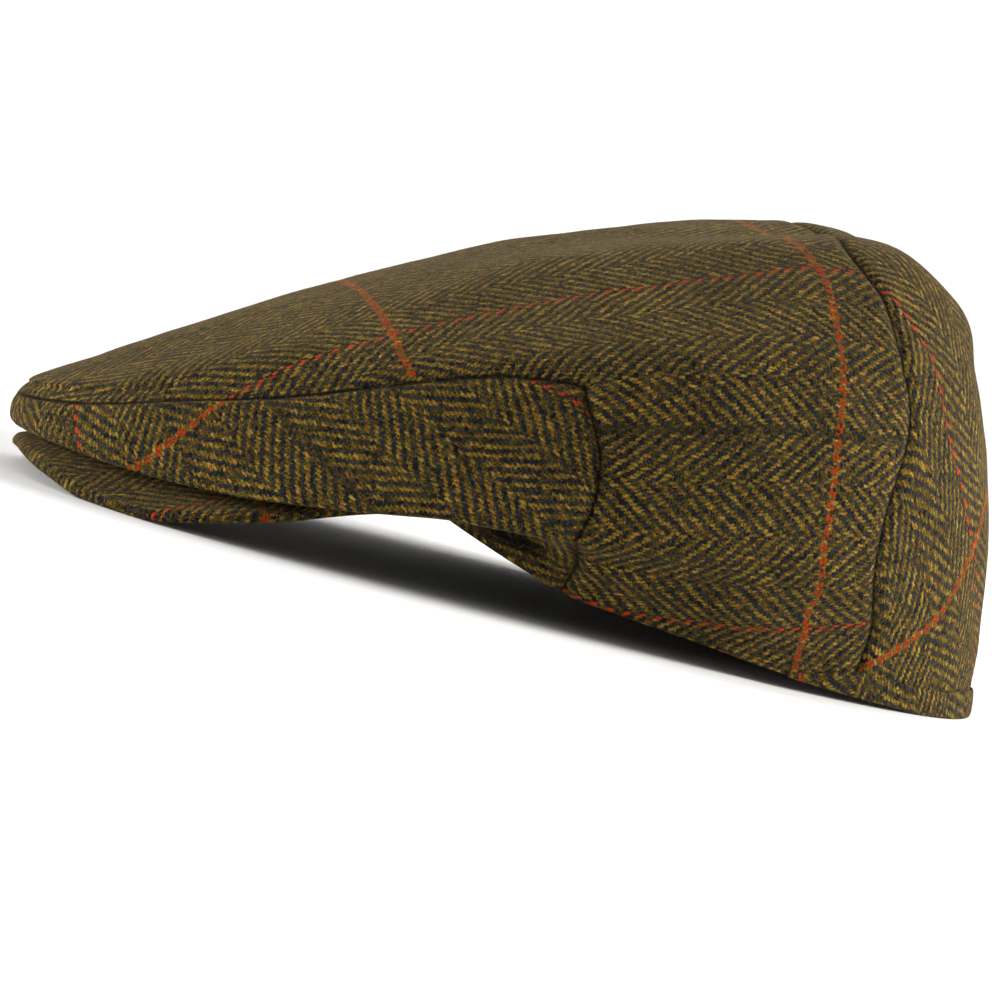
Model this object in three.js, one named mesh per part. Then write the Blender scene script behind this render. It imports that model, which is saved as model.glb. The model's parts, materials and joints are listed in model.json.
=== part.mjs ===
// A tweed flat cap: a crown sewn from five cloth panels, a narrow hem band round the back,
// and a cloth-covered visor that the front of the crown folds over.
// Millimetres, +Z up. The visor points to -Y and the wearer's left is +X.
// The cap stands on the back of its rim and on the two sides of its visor.
import * as THREE from 'three';

// Driving sizes
const headLength = 202;
const headWidth = 164;
const visorLength = 56;
const noseOverhang = 3;
const crownWidth = 190;
const crownRise = 110;
const wallThickness = 2;
const seamGap = 0.4;

const visorThickness = 3.6;
const visorWingThickness = 2;
const visorWingAngle = 46;
const visorCornerSharpness = 2.75;
const visorEdgeRise = 18;
const visorRootRise = 24;
const visorClearance = 0.4;

const bandHeight = 7;
const bandEndHeight = 1.5;
const bandThickness = 1.3;
const bandGap = 0.45;
const bandStartAngle = 114;
const bandFullAngle = 128;

// Lengths that follow from them
const headHalfLength = headLength / 2;
const headHalfWidth = headWidth / 2;
const crownHalfWidth = crownWidth / 2;
const visorReach = headHalfLength + visorLength;
const noseReach = visorReach + noseOverhang;
const backReach = headHalfLength + bandGap + bandThickness;
const originShift = (noseReach - backReach) / 2;

// The crown's level sections, from the rim up to the top.
// level: the place of the section on the way from the rim (0) to the top (1).
// wide: share of crownHalfWidth. front: share of noseReach.
// middle and back: shares of headHalfLength, the widest place and the back end.
// squareFront and squareBack: 2 is an ellipse, more is squarer, less is more pointed.
// rises: shares of crownRise every 30 degrees, from the front round one side to the back.
const sections = [
  { name: 'rim', level: 0, wide: headHalfWidth / crownHalfWidth, middle: 0,
    front: headHalfLength / noseReach, back: 1, squareFront: 2.1, squareBack: 2.1,
    rises: [0.255, 0.262, 0.138, 0.060, 0.024, 0, 0] },
  { name: 'tuck', level: 0.10, wide: 0.908, middle: 0,
    front: 0.808, back: 0.987, squareFront: 2.0, squareBack: 2.1,
    rises: [0.206, 0.208, 0.197, 0.178, 0.158, 0.142, 0.131] },
  { name: 'fold', level: 0.22, wide: 1.01, middle: -0.06,
    front: 0.970, back: 0.972, squareFront: 2.05, squareBack: 2.05,
    rises: [0.099, 0.102, 0.194, 0.240, 0.258, 0.242, 0.197] },
  { name: 'nose', level: 0.36, wide: 0.995, middle: 0,
    front: 1.0, back: 0.938, squareFront: 1.8, squareBack: 2.0,
    rises: [0.160, 0.288, 0.370, 0.421, 0.440, 0.427, 0.386] },
  { name: 'shoulder', level: 0.52, wide: 0.951, middle: -0.05,
    front: 0.985, back: 0.878, squareFront: 1.7, squareBack: 1.9,
    rises: [0.190, 0.348, 0.533, 0.621, 0.650, 0.639, 0.592] },
  { name: 'slope', level: 0.68, wide: 0.803, middle: 0.03,
    front: 0.916, back: 0.790, squareFront: 1.75, squareBack: 2.0,
    rises: [0.268, 0.502, 0.665, 0.769, 0.812, 0.807, 0.751] },
  { name: 'dome', level: 0.84, wide: 0.419, middle: 0.26,
    front: 0.379, back: 0.712, squareFront: 2.0, squareBack: 2.0,
    rises: [0.717, 0.844, 0.937, 0.987, 1.002, 0.950, 0.905] },
];
const apex = { middle: 0.37, rise: 1.022, slope: 0.18 };

// Dents and ridges of the crown's top. across is a share of crownHalfWidth and is mirrored,
// along and the length are shares of headHalfLength, the width a share of crownHalfWidth,
// and rise is a share of crownRise.
const topFolds = [
  { name: 'middle valley', across: 0, along: 0.20, width: 0.18, length: 0.36, rise: -0.022 },
  { name: 'long ridge', across: 0.42, along: 0.10, width: 0.10, length: 0.50, rise: 0.008 },
];

// Small dips and lifts of the rim: place and width in degrees from the front, rise as a share
// of crownRise. They fade out by the tuck.
const rimFolds = [
  { name: 'temple dip', angle: 71, width: 10, rise: -0.013 },
  { name: 'side lift', angle: 98, width: 13, rise: 0.008 },
];

// Heights of the visor's lower face, as shares of visorEdgeRise along its outer edge and of
// visorRootRise along the rim, from the middle to the wing tip in equal steps of angle. Below
// zero the face lies flat on the ground.
const visorEdgeRises = [0.25, 0.11, -0.08, 0.36, 0.97];
const visorRootRises = [1.0, 0.99, 0.95, 0.88, 0.77];

// The crown seam between top panel and front panel: level at each angle from the front.
const crownSeam = [
  { angle: 0, level: 0.41 },
  { angle: 14, level: 0.40 },
  { angle: 30, level: 0.49 },
  { angle: 44, level: 0.52 },
  { angle: 60, level: 0.52 },
  { angle: 70.5, level: 0.50 },
];
// The temple seam, from the rim up to the crown seam: angle at each level.
const templeSeam = [
  { level: 0, angle: 71.5 },
  { level: 0.12, angle: 73.5 },
  { level: 0.25, angle: 76.5 },
  { level: 0.36, angle: 73 },
  { level: 0.50, angle: 70.5 },
];
// The rear seam, from the rim up to the top of the crown.
const rearSeam = [
  { level: 0, angle: 127 },
  { level: 0.20, angle: 125 },
  { level: 0.36, angle: 120.5 },
  { level: 0.52, angle: 128 },
  { level: 0.63, angle: 125 },
  { level: 0.74, angle: 116.5 },
  { level: 0.85, angle: 94 },
  { level: 1, angle: 90 },
];

// Mesh steps
const frontColumns = 16;
const sideColumns = 8;
const backColumns = 9;
const lowerRows = 12;
const upperRows = 8;
const bandColumns = 14;
const visorColumns = 26;
const visorRows = 6;

const radians = THREE.MathUtils.degToRad;
const halfTurn = Math.PI;

// A smooth curve through values at equal steps, level at both ends.
function smoothAlong(values, place) {
  const last = values.length - 1;
  const step = Math.min(Math.floor(place), last - 1);
  const t = place - step;
  const value = (index) => values[index < 0 ? -index : index > last ? 2 * last - index : index];
  const tangentA = (value(step + 1) - value(step - 1)) / 2;
  const tangentB = (value(step + 2) - value(step)) / 2;
  return hermite(value(step), tangentA, value(step + 1), tangentB, t);
}

function hermite(a, tangentA, b, tangentB, t) {
  const t2 = t * t;
  const t3 = t2 * t;
  return (2 * t3 - 3 * t2 + 1) * a + (t3 - 2 * t2 + t) * tangentA
    + (3 * t2 - 2 * t3) * b + (t3 - t2) * tangentB;
}

// A smooth curve through table rows at unequal places.
function alongTable(rows, keyName, valueName, key) {
  const last = rows.length - 1;
  let row = 0;
  while (row < last - 1 && key > rows[row + 1][keyName]) row += 1;
  const slope = (i) => (rows[i + 1][valueName] - rows[i][valueName])
    / (rows[i + 1][keyName] - rows[i][keyName]);
  const span = rows[row + 1][keyName] - rows[row][keyName];
  const tangent = (i) => {
    if (i === 0) return slope(0);
    if (i === last) return slope(last - 1);
    return (slope(i - 1) + slope(i)) / 2;
  };
  const t = THREE.MathUtils.clamp((key - rows[row][keyName]) / span, 0, 1);
  return hermite(rows[row][valueName], tangent(row) * span,
    rows[row + 1][valueName], tangent(row + 1) * span, t);
}

// Distance from the middle of a squared ellipse to its edge, at an angle from the front.
function ovalRadius(angle, halfWidth, halfLength, squareness) {
  const across = Math.abs(Math.sin(angle)) / halfWidth;
  const along = Math.abs(Math.cos(angle)) / halfLength;
  return (across ** squareness + along ** squareness) ** (-1 / squareness);
}

// The point of one level section at an angle from the front (0) round to the back.
function sectionPoint(section, angle) {
  const middle = section.middle * headHalfLength;
  const towardsFront = Math.cos(angle) > 0;
  const halfLength = towardsFront
    ? middle + section.front * noseReach
    : section.back * headHalfLength - middle;
  const squareness = towardsFront ? section.squareFront : section.squareBack;
  const radius = ovalRadius(angle, section.wide * crownHalfWidth, halfLength, squareness);
  const turn = Math.abs(angle) / halfTurn * (section.rises.length - 1);
  return new THREE.Vector3(
    radius * Math.sin(angle),
    middle - radius * Math.cos(angle),
    crownRise * smoothAlong(section.rises, turn),
  );
}

const apexPoint = new THREE.Vector3(0, apex.middle * headHalfLength, apex.rise * crownRise);
const levels = [...sections.map((section) => section.level), 1];

// The visor's plan: how far it stands out from the rim at an angle from the front.
function visorStandOut(angle) {
  const share = Math.min(Math.abs(angle) / radians(visorWingAngle), 1);
  return visorLength * (1 - share ** visorCornerSharpness);
}

function rimRadius(angle) {
  return ovalRadius(angle, headHalfWidth, headHalfLength, sections[0].squareFront);
}

function visorThicknessAt(angle) {
  const share = Math.min(Math.abs(angle) / radians(visorWingAngle), 1);
  return THREE.MathUtils.lerp(visorThickness, visorWingThickness, share * share);
}

// Height of the visor's lower face, out along the way from the rim (0) to its edge (1).
function visorLowerFace(angle, out) {
  const steps = visorEdgeRises.length - 1;
  const place = Math.min(Math.abs(angle) / radians(visorWingAngle), 1) * steps;
  const edge = visorEdgeRise * smoothAlong(visorEdgeRises, place);
  const root = visorRootRise * smoothAlong(visorRootRises, place);
  return Math.max(THREE.MathUtils.lerp(root, edge, out), 0);
}

// Height of the visor's top under a point of the crown, or nothing where there is no visor.
function visorTopBelow(point) {
  const angle = Math.atan2(point.x, -point.y);
  const standOut = visorStandOut(angle);
  if (standOut <= 0) return -Infinity;
  const out = (Math.hypot(point.x, point.y) - rimRadius(angle)) / standOut;
  if (out < -0.1 || out > 1.1) return -Infinity;
  return visorLowerFace(angle, out) + visorThicknessAt(angle);
}

function topFoldRise(point) {
  let rise = 0;
  for (const fold of topFolds) {
    const along = (point.y / headHalfLength - fold.along) / fold.length;
    const across = (Math.abs(point.x) / crownHalfWidth - fold.across) / fold.width;
    rise += fold.rise * Math.exp(-along * along - across * across);
  }
  return rise * crownRise;
}

function rimFoldRise(angle, level) {
  const fade = 1 - THREE.MathUtils.smoothstep(level, sections[0].level, sections[1].level);
  let rise = 0;
  for (const fold of rimFolds) {
    const away = (THREE.MathUtils.radToDeg(Math.abs(angle)) - fold.angle) / fold.width;
    rise += fold.rise * Math.exp(-away * away);
  }
  return rise * fade * crownRise;
}

// The outer face of the crown: angle from the front, level from rim (0) to top (1).
function crownPoint(angle, level) {
  const last = levels.length - 1;
  const through = sections.map((section) => sectionPoint(section, angle));
  through.push(apexPoint);
  let row = 0;
  while (row < last - 1 && level > levels[row + 1]) row += 1;
  const chord = (i) => through[i + 1].clone().sub(through[i])
    .divideScalar(levels[i + 1] - levels[i]);
  const tangent = (i) => {
    if (i === last) {
      const end = chord(last - 1);
      end.z = end.y * apex.slope;
      return end;
    }
    if (i === 0) return chord(0).multiplyScalar(2).sub(tangent(1));
    const before = levels[i] - levels[i - 1];
    const after = levels[i + 1] - levels[i];
    return chord(i - 1).multiplyScalar(after).add(chord(i).multiplyScalar(before))
      .divideScalar(before + after);
  };
  const span = levels[row + 1] - levels[row];
  const t = (level - levels[row]) / span;
  const a = tangent(row).multiplyScalar(span);
  const b = tangent(row + 1).multiplyScalar(span);
  const point = new THREE.Vector3(
    hermite(through[row].x, a.x, through[row + 1].x, b.x, t),
    hermite(through[row].y, a.y, through[row + 1].y, b.y, t),
    hermite(through[row].z, a.z, through[row + 1].z, b.z, t),
  );
  const onVisor = visorTopBelow(point) + visorClearance;
  const rise = THREE.MathUtils.smoothstep(level, sections[3].level, sections[5].level);
  point.z += rise * topFoldRise(point) + rimFoldRise(angle, level);
  point.z = Math.max(point.z, onVisor, 0);
  return point;
}

const angleStep = 0.004;
const levelStep = 0.004;
const wallStep = 0.08;

function crownSlopes(angle, level, step = levelStep) {
  const low = Math.max(level - step, 0);
  const high = Math.min(level + step, 1 - levelStep);
  const around = crownPoint(angle + angleStep, level).sub(crownPoint(angle - angleStep, level))
    .divideScalar(2 * angleStep);
  const upward = crownPoint(angle, high).sub(crownPoint(angle, low)).divideScalar(high - low);
  return { around, upward };
}

// The way out of the cloth. It is taken over a longer step than the slopes, so that the inner
// face turns gently inside a sharp fold.
function crownNormal(angle, level) {
  const { around, upward } = crownSlopes(angle, Math.min(level, 1 - 2 * levelStep), wallStep);
  return around.cross(upward).normalize();
}

// Half of the seam's gap, square to the seam in the cloth's own plane. It points to the side
// where the angle (around) or the level (upward) grows.
function seamSetBack(seamAt, place, direction) {
  const here = seamAt(place);
  const before = seamAt(Math.max(place - levelStep, 0));
  const after = seamAt(Math.min(place + levelStep, here.lastPlace));
  const along = crownPoint(after.angle, after.level).sub(crownPoint(before.angle, before.level))
    .normalize();
  const slopes = crownSlopes(here.angle, here.level);
  const side = along.cross(crownNormal(here.angle, here.level)).normalize();
  if (side.dot(slopes[direction]) < 0) side.negate();
  return side.multiplyScalar(seamGap / 2);
}

const topLevel = 1 - 2 * levelStep;
const templeAt = (level) => ({
  angle: radians(alongTable(templeSeam, 'level', 'angle', level)), level, lastPlace: topLevel,
});
const rearAt = (level) => ({
  angle: radians(alongTable(rearSeam, 'level', 'angle', level)), level, lastPlace: topLevel,
});
const crownSeamAt = (angle) => ({
  angle,
  level: alongTable(crownSeam, 'angle', 'level', THREE.MathUtils.radToDeg(angle)),
  lastPlace: halfTurn,
});
const cornerLevel = crownSeam[crownSeam.length - 1].level;

// Neighbouring panels have their vertices at the same stations along the seam they share.
const crownRows = lowerRows + upperRows;
function rowLevel(row, start) {
  return row < lowerRows
    ? start * row / lowerRows
    : THREE.MathUtils.lerp(start, 1, (row - lowerRows) / upperRows);
}
const cornerAngle = templeAt(cornerLevel).angle;

// A closed wall from a patch of the crown: the outer face, the same face one wall further in,
// and a strip along every free edge. Each vertex is { point, normal }, each cell a list of
// vertex names, counterclockwise from outside.
function wallGeometry(vertices, cells) {
  const names = [...vertices.keys()];
  const order = new Map(names.map((name, index) => [name, index]));
  const positions = [];
  for (const name of names) positions.push(...vertices.get(name).point.toArray());
  for (const name of names) {
    const { point, normal } = vertices.get(name);
    const inner = point.clone().addScaledVector(normal, -wallThickness);
    inner.z = point.z <= 0 ? 0 : Math.max(inner.z, 0);
    positions.push(...inner.toArray());
  }
  const count = names.length;
  const triangles = [];
  const uses = new Map();
  for (const cell of cells) {
    const corners = [...new Set(cell)].map((name) => order.get(name));
    for (let i = 1; i < corners.length - 1; i += 1) {
      triangles.push(corners[0], corners[i], corners[i + 1]);
      triangles.push(corners[0] + count, corners[i + 1] + count, corners[i] + count);
    }
    corners.forEach((from, i) => {
      const to = corners[(i + 1) % corners.length];
      uses.set(`${from} ${to}`, [from, to]);
    });
  }
  for (const [from, to] of uses.values()) {
    if (uses.has(`${to} ${from}`)) continue;
    triangles.push(from, from + count, to + count, from, to + count, to);
  }
  return indexedGeometry(positions, triangles);
}

function indexedGeometry(positions, triangles) {
  const geometry = new THREE.BufferGeometry();
  geometry.setAttribute('position', new THREE.Float32BufferAttribute(positions, 3));
  geometry.setIndex(triangles);
  geometry.computeVertexNormals();
  return geometry;
}

const turnedOver = ([a, b, c, d]) => [a, d, c, b];
const acrossTheMiddle = new THREE.Vector3(-1, 1, 1);
const mirrored = ({ point, normal }) => ({
  point: point.clone().multiply(acrossTheMiddle),
  normal: normal.clone().multiply(acrossTheMiddle),
});

// One vertex of a panel: a place on the crown and the set-backs of the seams that it lies on.
function crownVertex(angle, level, ...setBacks) {
  const point = crownPoint(angle, level);
  for (const setBack of setBacks) point.add(setBack);
  return { point, normal: crownNormal(angle, level) };
}

// The corner that a panel has at the top of the crown, set back from the seams there.
function apexVertex(across, along) {
  const point = apexPoint.clone();
  point.z += topFoldRise(point);
  point.x += across * seamGap / 2;
  point.y += along * seamGap / 2;
  return { point, normal: crownNormal(0, 1) };
}

// Angle of a column of the top panel's sides: from the temple seam to the rear seam.
function sideAngle(share, level) {
  const temple = templeAt(Math.min(level, cornerLevel)).angle;
  const start = temple * rearAt(level).angle / rearAt(Math.min(level, cornerLevel)).angle;
  return THREE.MathUtils.lerp(start, rearAt(level).angle, share);
}

// Top panel: both sides in one piece, so each vertex of the left half has a mirrored twin.
// Columns run from the middle front to the rear seam, rows from the rim to the top.
function topPanelVertex(column, row) {
  if (column >= frontColumns) {
    const level = rowLevel(row, cornerLevel);
    const share = (column - frontColumns) / sideColumns;
    const setBacks = [];
    if (share === 1) setBacks.push(seamSetBack(rearAt, level, 'around').negate());
    if (share === 0 && row <= lowerRows) setBacks.push(seamSetBack(templeAt, level, 'around'));
    if (share === 0 && row === lowerRows) {
      setBacks.push(seamSetBack(crownSeamAt, cornerAngle, 'upward'));
    }
    return crownVertex(sideAngle(share, level), level, ...setBacks);
  }
  const seamAngle = cornerAngle * column / frontColumns;
  const level = rowLevel(row, crownSeamAt(seamAngle).level);
  const angle = sideAngle(0, Math.max(level, cornerLevel)) * column / frontColumns;
  if (row > lowerRows) return crownVertex(angle, level);
  return crownVertex(angle, level, seamSetBack(crownSeamAt, seamAngle, 'upward'));
}

function topPanelGeometry() {
  const vertices = new Map();
  const columns = frontColumns + sideColumns;
  const firstRow = (column) => (column < frontColumns ? lowerRows : 0);
  const name = (side, column, row) => {
    if (row === crownRows) return 'apex';
    return `${column === 0 ? 'middle' : side} ${column} ${row}`;
  };
  for (let column = 0; column <= columns; column += 1) {
    for (let row = firstRow(column); row < crownRows; row += 1) {
      const vertex = topPanelVertex(column, row);
      if (column === 0) {
        vertex.point.x = 0;
        vertex.normal.setX(0).normalize();
      }
      vertices.set(name('left', column, row), vertex);
      if (column > 0) vertices.set(name('right', column, row), mirrored(vertex));
    }
  }
  vertices.set('apex', apexVertex(0, -1));
  const cells = [];
  for (let column = 0; column < columns; column += 1) {
    for (let row = firstRow(column); row < crownRows; row += 1) {
      const corners = (side) => [
        name(side, column, row), name(side, column + 1, row),
        name(side, column + 1, row + 1), name(side, column, row + 1)];
      cells.push(corners('left'), turnedOver(corners('right')));
    }
  }
  return wallGeometry(vertices, cells);
}

// A panel of one side as a grid of vertices, mirrored for the right side.
function gridPanelGeometry(columns, rows, vertexAt, side) {
  const vertices = new Map();
  const name = (column, row) => (row === crownRows ? 'tip' : `${column} ${row}`);
  for (let row = 0; row <= rows; row += 1) {
    for (let column = 0; column <= columns; column += 1) {
      const vertex = vertexAt(column, row);
      vertices.set(name(column, row), side > 0 ? vertex : mirrored(vertex));
    }
  }
  const cells = [];
  for (let row = 0; row < rows; row += 1) {
    for (let column = 0; column < columns; column += 1) {
      const cell = [name(column, row), name(column + 1, row),
        name(column + 1, row + 1), name(column, row + 1)];
      cells.push(side > 0 ? cell : turnedOver(cell));
    }
  }
  return wallGeometry(vertices, cells);
}

const fromMiddle = new THREE.Vector3(seamGap / 2, 0, 0);

// Front side panel: from the centre-front seam back to the temple seam, from the rim out under
// the fold and up to the crown seam.
function frontSideVertex(column, row) {
  const share = column / frontColumns;
  const seamAngle = cornerAngle * share;
  const level = crownSeamAt(seamAngle).level * row / lowerRows;
  const setBacks = [];
  if (share === 0) setBacks.push(fromMiddle);
  if (share === 1) setBacks.push(seamSetBack(templeAt, level, 'around').negate());
  if (row === lowerRows) setBacks.push(seamSetBack(crownSeamAt, seamAngle, 'upward').negate());
  return crownVertex(templeAt(level).angle * share, level, ...setBacks);
}

// Back panel: from the rear seam to the centre-back seam, running to a point at the top.
function backVertex(column, row) {
  if (row === crownRows) return apexVertex(1, 1);
  const level = rowLevel(row, cornerLevel);
  const share = column / backColumns;
  const angle = THREE.MathUtils.lerp(rearAt(level).angle, halfTurn, share);
  const setBacks = [];
  if (share === 0) setBacks.push(seamSetBack(rearAt, level, 'around'));
  if (share === 1) setBacks.push(fromMiddle);
  return crownVertex(angle, level, ...setBacks);
}

// Hem band: a thin strip round the back of the rim, outside the panels, tapering to its ends.
function bandGeometry() {
  const positions = [];
  const triangles = [];
  const ring = 4;
  const columns = 2 * bandColumns;
  for (let column = 0; column <= columns; column += 1) {
    const turn = THREE.MathUtils.lerp(-1, 1, column / columns);
    const angle = THREE.MathUtils.lerp(halfTurn, radians(bandStartAngle), Math.abs(turn));
    const taper = THREE.MathUtils.smoothstep(angle, radians(bandStartAngle),
      radians(bandFullAngle));
    const height = THREE.MathUtils.lerp(bandEndHeight, bandHeight, taper);
    const { upward } = crownSlopes(angle, levelStep);
    const hemLevel = height / upward.length();
    for (const [level, out] of [[0, bandGap], [0, bandGap + bandThickness],
      [hemLevel, bandGap + bandThickness], [hemLevel, bandGap]]) {
      const normal = crownNormal(angle, level);
      const point = crownPoint(angle, level).addScaledVector(normal, out);
      if (level === 0) point.z = crownPoint(angle, 0).z;
      point.x *= Math.sign(turn) || 1;
      if (column === bandColumns) point.x = 0;
      positions.push(...point.toArray());
    }
  }
  for (let column = 0; column < columns; column += 1) {
    for (let i = 0; i < ring; i += 1) {
      const a = column * ring + i;
      const b = column * ring + (i + 1) % ring;
      triangles.push(a, b + ring, a + ring, a, b, b + ring);
    }
  }
  const end = columns * ring;
  triangles.push(0, 2, 1, 0, 3, 2);
  triangles.push(end, end + 1, end + 2, end, end + 2, end + 3);
  return indexedGeometry(positions, triangles);
}

// Visor: closed sections at angles from wing to wing, with a rounded outer edge.
function visorGeometry() {
  const positions = [];
  const triangles = [];
  const wing = radians(visorWingAngle) * 0.985;
  const edgeSteps = 4;
  let ring = 0;
  for (let column = 0; column <= visorColumns; column += 1) {
    const angle = THREE.MathUtils.lerp(-wing, wing, column / visorColumns);
    const standOut = visorStandOut(angle);
    const thickness = visorThicknessAt(angle);
    const edgeOut = Math.min(thickness / 2 / standOut, 0.4);
    const section = [];
    for (let row = 0; row <= visorRows; row += 1) {
      section.push([row / visorRows * (1 - edgeOut), 0]);
    }
    for (let step = 1; step < edgeSteps; step += 1) {
      const turn = step / edgeSteps * halfTurn;
      section.push([1 - edgeOut + edgeOut * Math.sin(turn), (1 - Math.cos(turn)) / 2]);
    }
    for (let row = visorRows; row >= 0; row -= 1) {
      section.push([row / visorRows * (1 - edgeOut), 1]);
    }
    ring = section.length;
    for (const [out, up] of section) {
      const radius = rimRadius(angle) + standOut * out;
      positions.push(radius * Math.sin(angle), -radius * Math.cos(angle),
        visorLowerFace(angle, out) + up * thickness);
    }
  }
  for (let column = 0; column < visorColumns; column += 1) {
    for (let i = 0; i < ring; i += 1) {
      const a = column * ring + i;
      const b = column * ring + (i + 1) % ring;
      triangles.push(a, b + ring, b, a, a + ring, b + ring);
    }
  }
  const last = visorColumns * ring;
  for (let i = 0; i < ring / 2 - 1; i += 1) {
    const a = i;
    const b = i + 1;
    const c = ring - 2 - i;
    const d = ring - 1 - i;
    triangles.push(a, b, c, a, c, d);
    triangles.push(last + a, last + c, last + b, last + a, last + d, last + c);
  }
  return indexedGeometry(positions, triangles);
}

const tweed = { roughness: 0.95, metalness: 0 };
const cap = new THREE.Group();

function addPiece(name, geometry, color) {
  const mesh = new THREE.Mesh(geometry, new THREE.MeshStandardMaterial({ color, ...tweed }));
  mesh.name = name;
  mesh.position.y = originShift;
  cap.add(mesh);
}

addPiece('crown_top_panel', topPanelGeometry(), 0x5a4a24);
for (const [side, word] of [[1, 'left'], [-1, 'right']]) {
  addPiece(`front_side_panel_${word}`,
    gridPanelGeometry(frontColumns, lowerRows, frontSideVertex, side), 0x54451f);
  addPiece(`back_panel_${word}`,
    gridPanelGeometry(backColumns, crownRows, backVertex, side), 0x4f421f);
}
addPiece('rear_band', bandGeometry(), 0x4a3c1c);
addPiece('visor', visorGeometry(), 0x50411e);

export default cap;
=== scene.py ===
# %% [markdown]
# # A herringbone tweed flat cap
#
# The real cap is sewn from seven pieces of tweed. A big top panel makes the top and both sides of
# the crown. Two front side panels make the bulge that hangs over the visor. Two back panels close
# the crown behind, a narrow hem is turned up round the back of the rim, and a stiff visor is
# covered in the same cloth. In this lesson each of them gets its fine shape, its cloth is laid
# out flat the way a cutter would, and the weave is then drawn yarn by yarn on that flat layout.

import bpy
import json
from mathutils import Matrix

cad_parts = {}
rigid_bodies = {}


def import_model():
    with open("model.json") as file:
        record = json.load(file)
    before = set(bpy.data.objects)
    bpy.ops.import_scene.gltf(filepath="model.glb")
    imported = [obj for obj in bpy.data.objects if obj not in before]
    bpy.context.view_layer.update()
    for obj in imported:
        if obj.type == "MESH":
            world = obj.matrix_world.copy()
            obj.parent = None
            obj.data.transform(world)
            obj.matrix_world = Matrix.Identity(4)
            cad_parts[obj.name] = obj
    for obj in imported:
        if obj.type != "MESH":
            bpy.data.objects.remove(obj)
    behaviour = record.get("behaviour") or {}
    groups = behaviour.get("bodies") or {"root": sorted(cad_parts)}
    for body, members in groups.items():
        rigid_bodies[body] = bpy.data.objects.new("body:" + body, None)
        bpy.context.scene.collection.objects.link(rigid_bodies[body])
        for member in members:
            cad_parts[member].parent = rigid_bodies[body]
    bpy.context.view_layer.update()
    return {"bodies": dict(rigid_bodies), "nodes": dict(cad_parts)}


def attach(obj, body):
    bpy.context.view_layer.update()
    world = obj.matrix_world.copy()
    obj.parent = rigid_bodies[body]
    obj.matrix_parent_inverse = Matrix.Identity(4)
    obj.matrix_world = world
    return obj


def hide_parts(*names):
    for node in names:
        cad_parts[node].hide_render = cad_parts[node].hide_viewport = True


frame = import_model()
print("packed pieces:", sorted(frame["nodes"]))

# %% Libraries and the unit
import json
import math

import bpy
import numpy as np
from mathutils import Matrix, Vector, kdtree, noise

MM = 0.001
# keeps a division away from zero
TINY = 1e-9

# %% [markdown]
# ## The sizes
#
# The same sizes as the cap's solid model, in millimetres. The visor points to -Y and the wearer's
# left is +X. Keeping them in one place means that the fine cloth lies exactly on the solids.

# %% Sizes of the head opening, the crown and the visor
HEAD_LENGTH = 202
HEAD_WIDTH = 164
VISOR_LENGTH = 56
NOSE_OVERHANG = 3
CROWN_WIDTH = 190
CROWN_RISE = 110
WALL = 2.0
VISOR_THICKNESS = 3.6
VISOR_WING_THICKNESS = 2.0
VISOR_WING_ANGLE = 46
VISOR_CORNER_SHARPNESS = 2.75
VISOR_EDGE_RISE = 18
VISOR_ROOT_RISE = 24
VISOR_CLEARANCE = 0.4
BAND_HEIGHT = 7
BAND_END_HEIGHT = 1.5
BAND_THICKNESS = 1.3
BAND_GAP = 0.45
BAND_START_ANGLE = 114
BAND_FULL_ANGLE = 128

HEAD_HALF_LENGTH = HEAD_LENGTH / 2
HEAD_HALF_WIDTH = HEAD_WIDTH / 2
CROWN_HALF_WIDTH = CROWN_WIDTH / 2
NOSE_REACH = HEAD_HALF_LENGTH + VISOR_LENGTH + NOSE_OVERHANG
BACK_REACH = HEAD_HALF_LENGTH + BAND_GAP + BAND_THICKNESS
ORIGIN_SHIFT = (NOSE_REACH - BACK_REACH) / 2
print("length over all", NOSE_REACH + BACK_REACH, "mm")

# %% [markdown]
# ## Level sections of the crown
#
# A cap block is carved to a few level outlines, and the rest is faired by hand between them. The
# crown here works the same way. Each row is one outline on the way from the rim (level 0) to the
# top (level 1), with its width, its reach to the front and back, how square it is, and how high
# it runs every 30 degrees from the front round to the back. The rim turns in under the fold, so
# one row may lie inside the next, which a height map could not do.

# %% Section tables
SECTION_COLUMNS = ("level", "wide", "middle", "front", "back",
                   "square_front", "square_back", "rises")
SECTION_ROWS = [
    (0, HEAD_HALF_WIDTH / CROWN_HALF_WIDTH, 0, HEAD_HALF_LENGTH / NOSE_REACH, 1, 2.1, 2.1,
     (0.255, 0.262, 0.138, 0.060, 0.024, 0, 0)),
    (0.10, 0.908, 0, 0.808, 0.987, 2.0, 2.1,
     (0.206, 0.208, 0.197, 0.178, 0.158, 0.142, 0.131)),
    (0.22, 1.01, -0.06, 0.970, 0.972, 2.05, 2.05,
     (0.099, 0.102, 0.194, 0.240, 0.258, 0.242, 0.197)),
    (0.36, 0.995, 0, 1.0, 0.938, 1.8, 2.0,
     (0.160, 0.288, 0.370, 0.421, 0.440, 0.427, 0.386)),
    (0.52, 0.951, -0.05, 0.985, 0.878, 1.7, 1.9,
     (0.190, 0.348, 0.533, 0.621, 0.650, 0.639, 0.592)),
    (0.68, 0.803, 0.03, 0.916, 0.790, 1.75, 2.0,
     (0.268, 0.502, 0.665, 0.769, 0.812, 0.807, 0.751)),
    (0.84, 0.419, 0.26, 0.379, 0.712, 2.0, 2.0,
     (0.717, 0.844, 0.937, 0.987, 1.002, 0.950, 0.905)),
]
SECTIONS = [dict(zip(SECTION_COLUMNS, row)) for row in SECTION_ROWS]
APEX = {"middle": 0.37, "rise": 1.022, "slope": 0.18}
APEX_POINT = np.array([0, APEX["middle"] * HEAD_HALF_LENGTH, APEX["rise"] * CROWN_RISE])
LEVELS = np.array([section["level"] for section in SECTIONS] + [1.0])

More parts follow.
